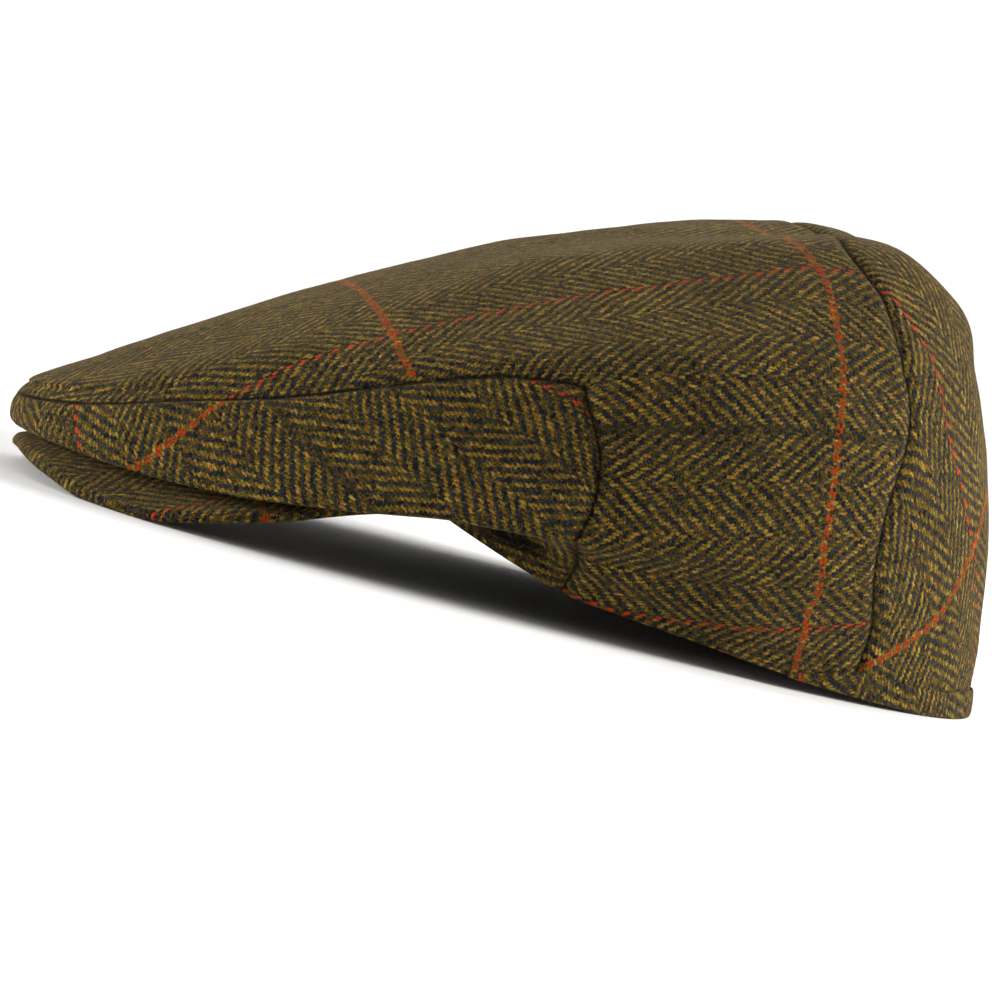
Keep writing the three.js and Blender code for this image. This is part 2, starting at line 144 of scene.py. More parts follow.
# dents and ridges of the top: across, along, width, length and rise, as shares of the sizes
TOP_FOLDS = [(0, 0.20, 0.18, 0.36, -0.022), (0.42, 0.10, 0.10, 0.50, 0.008)]
# dips and lifts of the rim: degrees from the front, width in degrees, rise as a share
RIM_FOLDS = [(71, 10, -0.013), (98, 13, 0.008)]
# the visor's lower face from its middle to its wing tip, as shares of the two rises
VISOR_EDGE_RISES = (0.25, 0.11, -0.08, 0.36, 0.97)
VISOR_ROOT_RISES = (1.0, 0.99, 0.95, 0.88, 0.77)
print(len(SECTIONS), "sections and the top point")


# %% Smooth curves through table values
def hermite(a, slope_a, b, slope_b, t):
    return ((2 * t**3 - 3 * t**2 + 1) * a + (t**3 - 2 * t**2 + t) * slope_a
            + (3 * t**2 - 2 * t**3) * b + (t**3 - t**2) * slope_b)


def smoothstep(x, low, high):
    t = np.clip((x - low) / (high - low), 0, 1)
    return t * t * (3 - 2 * t)


def smooth_along(values, place):
    """Values at equal steps, level at both ends."""
    values = np.array(values, float)
    last = len(values) - 1
    step = np.clip(np.floor(place).astype(int), 0, last - 1)

    def value(index):
        index = np.abs(index)
        return values[np.where(index > last, 2 * last - index, index)]

    slope_a = (value(step + 1) - value(step - 1)) / 2
    slope_b = (value(step + 2) - value(step)) / 2
    return hermite(value(step), slope_a, value(step + 1), slope_b, place - step)


def along_table(rows, place):
    """Rows of (place, value) at unequal steps."""
    places = np.array([row[0] for row in rows], float)
    values = np.array([row[1] for row in rows], float)
    slopes = np.diff(values) / np.diff(places)
    tangents = np.concatenate([slopes[:1], (slopes[1:] + slopes[:-1]) / 2, slopes[-1:]])
    row = np.clip(np.searchsorted(places, place) - 1, 0, len(rows) - 2)
    span = places[row + 1] - places[row]
    t = np.clip((place - places[row]) / span, 0, 1)
    return hermite(values[row], tangents[row] * span,
                   values[row + 1], tangents[row + 1] * span, t)


# %% One level section, as points round the cap
def oval_radius(angle, half_width, half_length, squareness):
    across = np.abs(np.sin(angle)) / half_width
    along = np.abs(np.cos(angle)) / half_length
    return (across**squareness + along**squareness) ** (-1 / squareness)


def section_points(section, angle):
    middle = section["middle"] * HEAD_HALF_LENGTH
    front = np.cos(angle) > 0
    half_length = np.where(front, middle + section["front"] * NOSE_REACH,
                           section["back"] * HEAD_HALF_LENGTH - middle)
    squareness = np.where(front, section["square_front"], section["square_back"])
    radius = oval_radius(angle, section["wide"] * CROWN_HALF_WIDTH, half_length, squareness)
    turn = np.abs(angle) / math.pi * (len(section["rises"]) - 1)
    rise = CROWN_RISE * smooth_along(section["rises"], turn)
    return np.stack([radius * np.sin(angle), middle - radius * np.cos(angle), rise], -1)


# %% [markdown]
# ## The visor's plan
#
# The visor stands out from the rim by its full length in front and runs to nothing at its wings.
# It is arched, highest in the middle and lowest some way round, which is where the cap touches
# the table. The crown has to know the visor's top, because its front rests on it.


# %% Visor heights
def wing_share(angle):
    return np.minimum(np.abs(angle) / math.radians(VISOR_WING_ANGLE), 1)


def visor_stand_out(angle):
    return VISOR_LENGTH * (1 - wing_share(angle) ** VISOR_CORNER_SHARPNESS)


def rim_radius(angle):
    return oval_radius(angle, HEAD_HALF_WIDTH, HEAD_HALF_LENGTH, SECTIONS[0]["square_front"])


def visor_thickness_at(angle):
    share = wing_share(angle) ** 2
    return VISOR_THICKNESS * (1 - share) + VISOR_WING_THICKNESS * share


def visor_lower_face(angle, out):
    place = wing_share(angle) * (len(VISOR_EDGE_RISES) - 1)
    edge = VISOR_EDGE_RISE * smooth_along(VISOR_EDGE_RISES, place)
    root = VISOR_ROOT_RISE * smooth_along(VISOR_ROOT_RISES, place)
    return np.maximum(root + (edge - root) * out, 0)


FAR_BELOW = -1e9


def visor_top_below(points):
    """Height of the visor's top under each point, far below where there is no visor."""
    angle = np.arctan2(points[:, 0], -points[:, 1])
    stand_out = visor_stand_out(angle)
    reach = np.hypot(points[:, 0], points[:, 1]) - rim_radius(angle)
    out = reach / np.maximum(stand_out, TINY)
    top = visor_lower_face(angle, out) + visor_thickness_at(angle)
    return np.where((stand_out > 0) & (out > -0.1) & (out < 1.1), top, FAR_BELOW)


# %% The crown's outer face
def crown_tangents(through):
    """The slope at every section, from the chords before and after it."""
    gaps = np.diff(LEVELS)[:, None, None]
    chords = np.diff(through, axis=0) / gaps
    inner = (chords[:-1] * gaps[1:] + chords[1:] * gaps[:-1]) / (gaps[1:] + gaps[:-1])
    first = chords[0] * 2 - inner[0]
    last = chords[-1].copy()
    last[:, 2] = last[:, 1] * APEX["slope"]
    return np.concatenate([first[None], inner, last[None]])


def top_fold_rise(points):
    rise = np.zeros(len(points))
    for across, along, width, length, height in TOP_FOLDS:
        off_along = (points[:, 1] / HEAD_HALF_LENGTH - along) / length
        off_across = (np.abs(points[:, 0]) / CROWN_HALF_WIDTH - across) / width
        rise += height * CROWN_RISE * np.exp(-off_along**2 - off_across**2)
    return rise


def rim_fold_rise(angle, level):
    rise = np.zeros(len(angle))
    for place, width, height in RIM_FOLDS:
        away = (np.degrees(np.abs(angle)) - place) / width
        rise += height * CROWN_RISE * np.exp(-away**2)
    return rise * (1 - smoothstep(level, LEVELS[0], LEVELS[1]))


def crown_points(angle, level):
    """Points of the crown in millimetres, from the middle of the head opening."""
    angle, level = np.broadcast_arrays(np.asarray(angle, float), np.asarray(level, float))
    through = np.stack([section_points(section, angle) for section in SECTIONS]
                       + [np.broadcast_to(APEX_POINT, (len(angle), 3))])
    tangents = crown_tangents(through)
    row = np.clip(np.searchsorted(LEVELS, level) - 1, 0, len(LEVELS) - 2)
    here = (row, np.arange(len(angle)))
    after = (row + 1, np.arange(len(angle)))
    span = (LEVELS[row + 1] - LEVELS[row])[:, None]
    t = (level[:, None] - LEVELS[row][:, None]) / span
    points = hermite(through[here], tangents[here] * span,
                     through[after], tangents[after] * span, t)
    on_visor = visor_top_below(points) + VISOR_CLEARANCE
    points[:, 2] += top_fold_rise(points) * smoothstep(level, LEVELS[3], LEVELS[5])
    points[:, 2] += rim_fold_rise(angle, level)
    points[:, 2] = np.maximum(np.maximum(points[:, 2], on_visor), 0)
    return points


# %% The way out of the cloth
ANGLE_STEP = 0.004
WALL_STEP = 0.08
TOP_LEVEL, HIGHEST_LEVEL = 0.992, 0.996


def crown_normals(angle, level):
    """Taken over a long step, so that the inner face turns gently inside a sharp fold."""
    level = np.minimum(level, TOP_LEVEL)
    low = np.maximum(level - WALL_STEP, 0)
    high = np.minimum(level + WALL_STEP, HIGHEST_LEVEL)
    around = crown_points(angle + ANGLE_STEP, level) - crown_points(angle - ANGLE_STEP, level)
    upward = crown_points(angle, high) - crown_points(angle, low)
    normal = np.cross(around, upward)
    return normal / np.linalg.norm(normal, axis=1, keepdims=True)


print("top of the crown:", crown_points(np.zeros(1), np.ones(1))[0].round(1), "mm")

# %% [markdown]
# ## Where the seams run
#
# A panel is known by its seams. Each seam is a short table of places on the crown: the crown seam
# runs from the nose back over the temple, the temple seam drops from its end to the rim, and the
# rear seam climbs from the rim to the top. Between its seams a panel is a plain grid of columns
# and rows, so that the threads of the mesh follow the piece as the cutter's pattern does.

# %% Seam tables: (angle in degrees, level) or (level, angle)
CROWN_SEAM = [(0, 0.41), (14, 0.40), (30, 0.49), (44, 0.52), (60, 0.52), (70.5, 0.50)]
TEMPLE_SEAM = [(0, 71.5), (0.12, 73.5), (0.25, 76.5), (0.36, 73), (0.50, 70.5)]
REAR_SEAM = [(0, 127), (0.20, 125), (0.36, 120.5), (0.52, 128), (0.63, 125), (0.74, 116.5),
             (0.85, 94), (1, 90)]
FRONT_COLUMNS = 16
SIDE_COLUMNS = 8
BACK_COLUMNS = 9
ALL_COLUMNS = FRONT_COLUMNS + SIDE_COLUMNS
LOWER_ROWS = 12
UPPER_ROWS = 8
CROWN_ROWS = LOWER_ROWS + UPPER_ROWS
CORNER_LEVEL = CROWN_SEAM[-1][1]


# %% Places on the seams and in the panels
def crown_seam_level(angle):
    return along_table(CROWN_SEAM, np.degrees(angle))


def temple_angle(level):
    return np.radians(along_table(TEMPLE_SEAM, level))


def rear_angle(level):
    return np.radians(along_table(REAR_SEAM, level))


CORNER_ANGLE = float(temple_angle(np.array([CORNER_LEVEL]))[0])


def row_level(row, start):
    upper = start + (1 - start) * (row - LOWER_ROWS) / UPPER_ROWS
    return np.where(row < LOWER_ROWS, start * row / LOWER_ROWS, upper)


def side_angle(share, level):
    lower = np.minimum(level, CORNER_LEVEL)
    start = temple_angle(lower) * rear_angle(level) / rear_angle(lower)
    return start + (rear_angle(level) - start) * share


def top_panel_place(column, row):
    seam_angle = CORNER_ANGLE * np.minimum(column, FRONT_COLUMNS) / FRONT_COLUMNS
    front_level = row_level(row, crown_seam_level(seam_angle))
    front_angle = side_angle(0, np.maximum(front_level, CORNER_LEVEL)) * column / FRONT_COLUMNS
    side_level = row_level(row, CORNER_LEVEL)
    share = np.clip((column - FRONT_COLUMNS) / SIDE_COLUMNS, 0, 1)
    behind = column >= FRONT_COLUMNS
    return (np.where(behind, side_angle(share, side_level), front_angle),
            np.where(behind, side_level, front_level))


def front_panel_place(column, row):
    share = column / FRONT_COLUMNS
    level = crown_seam_level(CORNER_ANGLE * share) * row / LOWER_ROWS
    return temple_angle(level) * share, level


def back_panel_place(column, row):
    level = row_level(row, CORNER_LEVEL)
    share = column / BACK_COLUMNS
    return rear_angle(level) + (math.pi - rear_angle(level)) * share, level


print("seams meet at", round(math.degrees(CORNER_ANGLE), 1), "degrees")

# %% [markdown]
# ## A grid for a panel
#
# One function makes the grid of any panel at any fineness. A coarse grid is enough to lay the
# cloth out flat, and a fine one carries the shape that shows. The top panel's grid has a corner
# cut out where the front side panel goes, and its rows all run to one point at the top.


# %% Lattice of one panel
class Lattice:
    """Grid vertices of a panel. ids holds each one's number, -1 where the grid is cut away."""

    def __init__(self, columns, rows, place, pointed, cut=None):
        across, up = len(columns), len(rows)
        self.ids = np.full((across, up), -1)
        used = []
        for i, column in enumerate(columns):
            for j, row in enumerate(rows):
                if cut is not None and cut(column, row):
                    continue
                if pointed and j == up - 1 and i > 0:
                    self.ids[i, j] = self.ids[0, j]
                    continue
                self.ids[i, j] = len(used)
                used.append((column, row))
        corners = np.stack([self.ids[:-1, :-1], self.ids[1:, :-1],
                            self.ids[1:, 1:], self.ids[:-1, 1:]], -1).reshape(-1, 4)
        self.cells = corners[corners.min(1) >= 0]
        self.column, self.row = np.array(used, float).T
        self.angle, self.level = place(self.column, self.row)
        self.points = crown_points(self.angle, self.level)

    def triangles(self):
        """Each cell as two triangles, and one where the cell ends in the top point."""
        a, b, c, d = self.cells.T
        both = np.concatenate([np.stack([a, b, c], 1), np.stack([a, c, d], 1)])
        return both[(both[:, 0] != both[:, 1]) & (both[:, 1] != both[:, 2])
                    & (both[:, 0] != both[:, 2])]


def runs(start, *stops):
    """Places along a grid: each stop is (place, steps per unit up to it), 0 for a single step."""
    made = [start]
    for place, steps in stops:
        count = max(1, round((place - made[-1]) * steps))
        made += np.linspace(made[-1], place, count + 1)[1:].tolist()
    return np.array(made)


def front_cut(column, row):
    return column < FRONT_COLUMNS and row < LOWER_ROWS


# %% [markdown]
# ## Laying the cloth out flat
#
# Tweed hardly stretches along its yarns, so the pattern on a panel is the pattern of a flat piece
# bent into place. The flat layout is found by letting every small triangle keep its own shape as
# well as it can while they all stay joined. The steps are short: each triangle says which way it
# would like to be turned, and one set of linear equations then places all the corners.
#
# Pins tie a few places of the panel to a yarn. They come from where the orange check lines run
# on the real cap, given as an angle and a level on the crown. The first number of the flat
# layout counts across the warp, and the second along it, both in millimetres.


# %% Flat triangles and pins
# the least height that a triangle may have, squared
THIN = 1e-6


def corner_shapes(points, triangles):
    """Each triangle drawn flat, with its first side along the first axis."""
    corners = points[triangles]
    side = corners[:, 1] - corners[:, 0]
    other = corners[:, 2] - corners[:, 0]
    length = np.linalg.norm(side, axis=1)
    along = (other * side).sum(1) / length
    across = np.sqrt(np.maximum((other**2).sum(1) - along**2, THIN))
    flat = np.zeros((len(triangles), 3, 2))
    flat[:, 1, 0] = length
    flat[:, 2, 0] = along
    flat[:, 2, 1] = across
    return flat


def pin_rows(lattice, triangles, pins):
    """One row of corner weights for each pin, from the triangle that it lies in."""
    places = crown_points(np.radians([pin[0] for pin in pins]), np.array([pin[1] for pin in pins]))
    corners = lattice.points[triangles]
    first = corners[:, 0]
    side, other = corners[:, 1] - first, corners[:, 2] - first
    side_side = (side * side).sum(1)
    side_other = (side * other).sum(1)
    other_other = (other * other).sum(1)
    bottom = np.maximum(side_side * other_other - side_other * side_other, TINY)
    rows = np.zeros((len(pins), len(lattice.points)))
    for row, place in zip(rows, places):
        on_side = ((place - first) * side).sum(1)
        on_other = ((place - first) * other).sum(1)
        second = (other_other * on_side - side_other * on_other) / bottom
        third = (side_side * on_other - side_other * on_side) / bottom
        weights = np.clip(np.stack([1 - second - third, second, third], 1), 0, 1)
        weights /= weights.sum(1, keepdims=True)
        miss = np.linalg.norm((corners * weights[..., None]).sum(1) - place, axis=1)
        best = miss.argmin()
        row[triangles[best]] += weights[best]
    return rows


# %% Flattening
# each side by its two corners
SIDES = ((0, 1), (1, 2), (2, 0))
STIFFNESS_RANGE = (0.05, 4)
PIN_PULL = 4.0
MIDDLE_PULL = 1e4
LOOSE_PULL = 1e-6
ROUNDS = 120


def side_stiffness(flat):
    """How much each triangle's sides weigh: the cotangent of the corner across from the side."""
    made = []
    for i, j in SIDES:
        a = flat[:, i] - flat[:, 3 - i - j]
        b = flat[:, j] - flat[:, 3 - i - j]
        turn = np.abs(a[:, 0] * b[:, 1] - a[:, 1] * b[:, 0])
        made.append(np.clip((a * b).sum(1) / np.maximum(turn, TINY), *STIFFNESS_RANGE))
    return made


def joined_corners(triangles, stiffness, count):
    """The equations that join the triangles where they share a corner."""
    matrix = np.zeros((count, count))
    for (i, j), stiff in zip(SIDES, stiffness):
        p, q = triangles[:, i], triangles[:, j]
        for a, b, sign in ((p, p, 1), (q, q, 1), (p, q, -1), (q, p, -1)):
            np.add.at(matrix, (a, b), sign * stiff)
    return matrix


def turned_sides(now, flat, stiffness):
    """Each triangle's own sides, turned the way that it lies now."""
    cos = np.zeros(len(now))
    sin = np.zeros(len(now))
    own_sides = [flat[:, i] - flat[:, j] for i, j in SIDES]
    for (i, j), own, stiff in zip(SIDES, own_sides, stiffness):
        seen = now[:, i] - now[:, j]
        cos += stiff * (seen * own).sum(1)
        sin += stiff * (seen[:, 1] * own[:, 0] - seen[:, 0] * own[:, 1])
    size = np.maximum(np.hypot(cos, sin), TINY)
    cos, sin = cos / size, sin / size
    return [np.stack([cos * own[:, 0] - sin * own[:, 1], sin * own[:, 0] + cos * own[:, 1]], 1)
            for own in own_sides]


def lay_flat(lattice, start, warp_pins, weft_pins, middle=()):
    """Flat places of the lattice's vertices. middle lists those whose first number is 0."""
    triangles = lattice.triangles()
    flat = corner_shapes(lattice.points, triangles)
    count = len(lattice.points)
    stiffness = side_stiffness(flat)
    matrix = joined_corners(triangles, stiffness, count)
    solvers = []
    for pins, held in ((warp_pins, middle), (weft_pins, ())):
        rows = pin_rows(lattice, triangles, pins)
        system = matrix + np.eye(count) * LOOSE_PULL + PIN_PULL * rows.T @ rows
        if len(held):
            system[held, held] += MIDDLE_PULL
        solvers.append((np.linalg.inv(system), PIN_PULL * rows.T @ np.array([pin[2] for pin in pins])))
    laid = start
    for _ in range(ROUNDS):
        target = np.zeros((count, 2))
        for (i, j), own, stiff in zip(SIDES, turned_sides(laid[triangles], flat, stiffness), stiffness):
            np.add.at(target, triangles[:, i], own * stiff[:, None])
            np.add.at(target, triangles[:, j], -own * stiff[:, None])
        laid = np.stack([solver @ (target[:, axis] + push)
                         for axis, (solver, push) in enumerate(solvers)], 1)
    return laid


def stretch_of(lattice, laid):
    """The cloth's stretch as a check: its middle value between the worst twentieths."""
    triangles = lattice.triangles()
    flat = corner_shapes(lattice.points, triangles)
    real = np.linalg.norm(flat[:, 1] - flat[:, 0], axis=1)
    now = np.linalg.norm(laid[triangles[:, 1]] - laid[triangles[:, 0]], axis=1)
    return np.percentile(now / real, [5, 50, 95]).round(2)


# %% [markdown]
# ## The weave's own measures
#
# Counted in the photo, the warp yarns lie 0.8 mm apart and the weft yarns 1 mm. The
# herringbone turns every 16 warp yarns. The window check repeats every 128 warp and 112 weft
# yarns, with an orange line at each window's edge and a dark one in its middle.

# %% Weave measures
END_PITCH = 0.80
PICK_PITCH = 1.00
STRIPE_ENDS = 16
WINDOW_ENDS = 128
WINDOW_PICKS = 112
WINDOW_ACROSS = WINDOW_ENDS * END_PITCH
WINDOW_ALONG = WINDOW_PICKS * PICK_PITCH
print("check window", WINDOW_ACROSS, "by", WINDOW_ALONG, "mm")

# %% [markdown]
# ## The top panel's layout
#
# The warp runs from front to back. The first number starts from the middle line, so that the
# middle line is held at 0 and the right half is the mirror image of the left. One orange warp
# line runs along the crown's shoulder and the next just above the rim, with the dark one between
# them. Two orange weft lines cross the crown, one window apart.

# %% Pins of the top panel: (angle, level, millimetres)
SHOULDER_LINE = 58
TOP_WARP_PINS = (
    [(angle, level, SHOULDER_LINE) for angle, level in
     [(29.5, 0.61), (35, 0.68), (43.5, 0.74), (59, 0.752), (73.5, 0.768), (86.5, 0.796)]]
    + [(angle, level, SHOULDER_LINE + WINDOW_ACROSS / 2) for angle, level in
       [(78.5, 0.43), (87.5, 0.445), (97, 0.46), (107.5, 0.475), (124, 0.50)]]
    + [(angle, level, SHOULDER_LINE + WINDOW_ACROSS) for angle, level in
       [(80.5, 0.0), (89, 0.02), (95, 0.04), (105, 0.075), (112, 0.095), (123, 0.135)]])
TOP_WEFT_PINS = (
    [(angle, level, 0) for angle, level in
     [(0, 0.80), (26.5, 0.73), (36.5, 0.68), (43.5, 0.60), (47.5, 0.525)]]
    + [(angle, level, WINDOW_ALONG / 2) for angle, level in
       [(5.5, 0.89), (55.5, 0.73), (64.5, 0.70), (78, 0.46)]]
    + [(angle, level, WINDOW_ALONG) for angle, level in
       [(72, 0.83), (82.5, 0.828), (92, 0.796), (100.5, 0.752), (106.5, 0.70), (111, 0.60),
        (112.5, 0.535), (110, 0.445), (110, 0.296), (112, 0.128), (115, 0.004)]])

# %% Lay the left half of the top panel flat
COARSE = 2
TOP_START = (CROWN_RISE, 80)
top_coarse = Lattice(runs(0, (ALL_COLUMNS, COARSE)), runs(0, (CROWN_ROWS, COARSE)),
                     top_panel_place, True, front_cut)
# a rough start: out from the middle line and down the side, and back from the nose
top_start = np.stack([np.abs(top_coarse.points[:, 0]) + TOP_START[0] - top_coarse.points[:, 2],
                      top_coarse.points[:, 1] + TOP_START[1]], 1)
middle_line = np.flatnonzero(top_coarse.column == 0)
top_laid = lay_flat(top_coarse, top_start, TOP_WARP_PINS, TOP_WEFT_PINS, middle_line)
print("top panel stretch", stretch_of(top_coarse, top_laid))

# %% [markdown]
# ## The front side panels' layout
#
# Their warp is slanted to the crown seam, so that the stripes fan down towards the temple. A
# rough layout by distances along the grid, turned by the slant, is a good enough start. An
# orange weft line crosses the panel a third of the way back, and orange warp ends show at the
# nose and again near the temple.


# %% Rough layout along a grid
def along_grid(lattice, from_row):
    """Distances round the cap and up it, measured along the grid's own lines."""
    points = lattice.points
    start = np.zeros((len(points), 2))
    ids = lattice.ids
    base = int(from_row * COARSE)
    for i in range(1, ids.shape[0]):
        gap = np.linalg.norm(points[ids[i, base]] - points[ids[i - 1, base]])
        start[ids[i], 0] = start[ids[i - 1, base], 0] + gap
    for i in range(ids.shape[0]):
        for j in range(base + 1, ids.shape[1]):
            gap = np.linalg.norm(points[ids[i, j]] - points[ids[i, j - 1]])
            start[ids[i, j], 1] = start[ids[i, j - 1], 1] + gap
        for j in range(base - 1, -1, -1):
            gap = np.linalg.norm(points[ids[i, j]] - points[ids[i, j + 1]])
            start[ids[i, j], 1] = start[ids[i, j + 1], 1] - gap
    return start


def turned(laid, degrees):
    turn = math.radians(degrees)
    matrix = np.array([[math.cos(turn), -math.sin(turn)], [math.sin(turn), math.cos(turn)]])
    return laid @ matrix.T


# %% Lay a front side panel flat
FRONT_SLANT = -45
FRONT_WARP_PINS = (
    [(angle, level, 0) for angle, level in [(11, 0.37), (14.5, 0.285)]]
    + [(angle, level, WINDOW_ACROSS) for angle, level in [(62, 0.50), (69, 0.47)]])
FRONT_WEFT_PINS = [(angle, level, 0) for angle, level in
                   [(25.5, 0.37), (24.5, 0.31), (24, 0.255)]]
front_coarse = Lattice(runs(0, (FRONT_COLUMNS, COARSE)), runs(0, (LOWER_ROWS, COARSE)),
                       front_panel_place, False)
front_start = turned(along_grid(front_coarse, LOWER_ROWS), FRONT_SLANT)
front_laid = lay_flat(front_coarse, front_start, FRONT_WARP_PINS, FRONT_WEFT_PINS)
print("front side panel stretch", stretch_of(front_coarse, front_laid))

# %% [markdown]
# ## The back panels' layout
#
# They are cut on the bias: the stripes slant down from the rear seam to the centre back, and
# mirror each other there. The pins follow the orange warp line that falls from the top of the
# rear seam, and the orange weft line that climbs from its foot.

# %% Lay a back panel flat
BACK_SLANT = -55
BACK_START_ROW = 6
BACK_WARP_PINS = [(angle, level, 0) for angle, level in
                  [(111, 0.772), (117.5, 0.752), (122, 0.728), (128, 0.704), (134, 0.648),
                   (141, 0.476), (142.5, 0.364), (153, 0.244)]]
BACK_WEFT_PINS = [(angle, level, 0) for angle, level in
                  [(128.5, 0.052), (132, 0.076), (135, 0.108), (139, 0.16), (141.5, 0.216),
                   (143.5, 0.256), (147, 0.344), (150.5, 0.40), (155.5, 0.448)]]
back_coarse = Lattice(runs(0, (BACK_COLUMNS, COARSE)), runs(0, (CROWN_ROWS, COARSE)),
                      back_panel_place, True)
back_start = turned(along_grid(back_coarse, BACK_START_ROW), BACK_SLANT)
back_laid = lay_flat(back_coarse, back_start, BACK_WARP_PINS, BACK_WEFT_PINS)
print("back panel stretch", stretch_of(back_coarse, back_laid))

# %% [markdown]
# ## Camera and light
#
# The photo was taken from the wearer's left with a long lens, slightly above the table and with
# the cap tipped back a little, so the camera is rolled by the same small amount. Broad soft lamps
# stand in front of the nose, behind the cap, and high up on its far side. The pale sky fills the
# shadows, as the white walls of a studio do.

# %% One thing in the scene
def put_in_scene(name, data):
    made = bpy.data.objects.new(name, data)
    bpy.context.scene.collection.objects.link(made)
    return made


# %% Camera
TARGET = Vector((0, -4.06, 27.63)) * MM
VIEW_FROM = Vector((0.9785, -0.1964, 0.0633)).normalized()
VIEW_UP = Vector((0, -0.2656, 0.9641))
VIEW_DISTANCE = 1500 * MM
VIEW_WIDTH = 259 * MM
TARGET_ABOVE_MIDDLE = 0.02
SENSOR_WIDTH = 36

camera_data = bpy.data.cameras.new("camera")
camera_data.sensor_width = SENSOR_WIDTH
camera_data.lens = SENSOR_WIDTH * VIEW_DISTANCE / VIEW_WIDTH
camera_data.shift_y = -TARGET_ABOVE_MIDDLE
camera_data.clip_start = 0.05
camera_data.clip_end = 30
camera = put_in_scene("camera", camera_data)
side = VIEW_UP.cross(VIEW_FROM).normalized()
upright = VIEW_FROM.cross(side)
camera.matrix_world = Matrix.Translation(TARGET + VIEW_FROM * VIEW_DISTANCE) @ Matrix(
    (side, upright, VIEW_FROM)).transposed().to_4x4()
bpy.context.scene.camera = camera
print("lens", round(camera_data.lens, 1), "mm, camera at", camera.location)

# %% Soft lamps
WARM_WHITE = (1.0, 0.98, 0.95)
# name, place, the height that it looks at, size and power
LAMPS = [("lamp_above", (-0.9, 0.9, 1.1), 0.06, 0.9, 9),
         ("lamp_front", (0.05, -1.42, 0.22), 0.04, 0.9, 36),
         ("lamp_back", (0.33, 1.35, 0.52), 0.05, 0.8, 36)]

for name, place, aim, size, power in LAMPS:
    disk = bpy.data.lights.new(name, "AREA")
    disk.shape = "DISK"
    disk.size = size
    disk.energy = power
    disk.color = WARM_WHITE
    lamp = put_in_scene(name, disk)
    lamp.location = place
    lamp.rotation_mode = "QUATERNION"
    lamp.rotation_quaternion = (Vector((0, 0, aim)) - Vector(place)).to_track_quat("-Z", "Y")
print("lamps:", [name for name, *_ in LAMPS])

# %% Sky
SKY_STRENGTH = 0.50
world = bpy.data.worlds.new("studio")
world.use_nodes = True
sky = world.node_tree.nodes["Background"]
sky.inputs["Color"].default_value = (1.0, 1.0, 1.0, 1)
sky.inputs["Strength"].default_value = SKY_STRENGTH
bpy.context.scene.world = world
bpy.context.scene.view_settings.view_transform = "Standard"
print("sky of strength", SKY_STRENGTH)

# %% [markdown]
# ## Nodes written as sums
#
# A shader is easier to read as a formula than as a web of wires. This small class wraps a socket
# and makes + - * / build Math nodes. Colours and vectors have nodes of their own, because a Math
# node would turn a colour grey. Every other node comes from one method.


# %% Sockets as values
class Wire:
    def __init__(self, tree, socket):
        self.tree = tree
        self.socket = socket

    def math(self, operation, *others):
        values = (self, *others)
        return self.tree.node("ShaderNodeMath", {"operation": operation}, dict(enumerate(values)))

    def __add__(self, other):
        return self.math("ADD", other)

    def __sub__(self, other):
        return self.math("SUBTRACT", other)

    def __rsub__(self, other):
        return self.tree.number("SUBTRACT", other, self)

    def __mul__(self, other):
        return self.math("MULTIPLY", other)

    def __truediv__(self, other):
        return self.math("DIVIDE", other)

    def __lt__(self, other):
        return self.math("LESS_THAN", other)

    def __gt__(self, other):
        return self.math("GREATER_THAN", other)

    def __mod__(self, other):
        return self.math("FLOORED_MODULO", other)

    def __abs__(self):
        return self.math("ABSOLUTE")

    __radd__ = __add__
    __rmul__ = __mul__

    def floor(self):
        return self.math("FLOOR")

    def power(self, other):
        return self.math("POWER", other)

    def clamped(self):
        return self.math("MINIMUM", 1.0).math("MAXIMUM", 0.0)


class Tree:
    """A node tree with one method for every kind of node."""

    def __init__(self, nodes_tree):
        self.tree = nodes_tree

    def join(self, wire, socket):
        self.tree.links.new(wire.socket, socket)

    def node(self, kind, settings=None, values=None, out=0):
        made = self.tree.nodes.new(kind)
        for name, value in (settings or {}).items():
            setattr(made, name, value)
        for name, value in (values or {}).items():
            socket = made.inputs[name]
            if isinstance(value, Wire):
                self.join(value, socket)
            else:
                socket.default_value = value
        return Wire(self, made.outputs[out])

    def number(self, operation, first, second):
        return self.node("ShaderNodeMath", {"operation": operation}, {0: first, 1: second})

    def noise(self, vector, scale, detail=2.0, roughness=0.5, out=0):
        return self.node("ShaderNodeTexNoise", {"noise_dimensions": "3D"},
                         {"Vector": vector, "Scale": scale, "Detail": detail,
                          "Roughness": roughness}, out)

    def blend(self, share, first, second, kind="MIX"):
        return self.node("ShaderNodeMix", {"data_type": "RGBA", "blend_type": kind},
                         {0: share, 6: first, 7: second}, 2)

    def parts(self, vector):
        made = self.tree.nodes.new("ShaderNodeSeparateXYZ")
        self.join(vector, made.inputs[0])
        return Wire(self, made.outputs[0]), Wire(self, made.outputs[1])

    def ramp(self, share, stops):
        made = self.tree.nodes.new("ShaderNodeValToRGB")
        bar = made.color_ramp
        while len(bar.elements) < len(stops):
            bar.elements.new(0.5)
        for element, (place, colour) in zip(bar.elements, stops):
            element.position = place
            element.color = (*colour, 1)
        self.join(share, made.inputs["Fac"])
        return Wire(self, made.outputs["Color"])


# %% A material to start from
def blank_material(name, sockets):
    """A new material, its tree and its shader, with the values that are the same all over."""
    material = bpy.data.materials.new(name)
    material.use_nodes = True
    shader = material.node_tree.nodes["Principled BSDF"]
    for socket, value in sockets.items():
        shader.inputs[socket].default_value = value
    return material, Tree(material.node_tree), shader


print("Wire and Tree are ready")

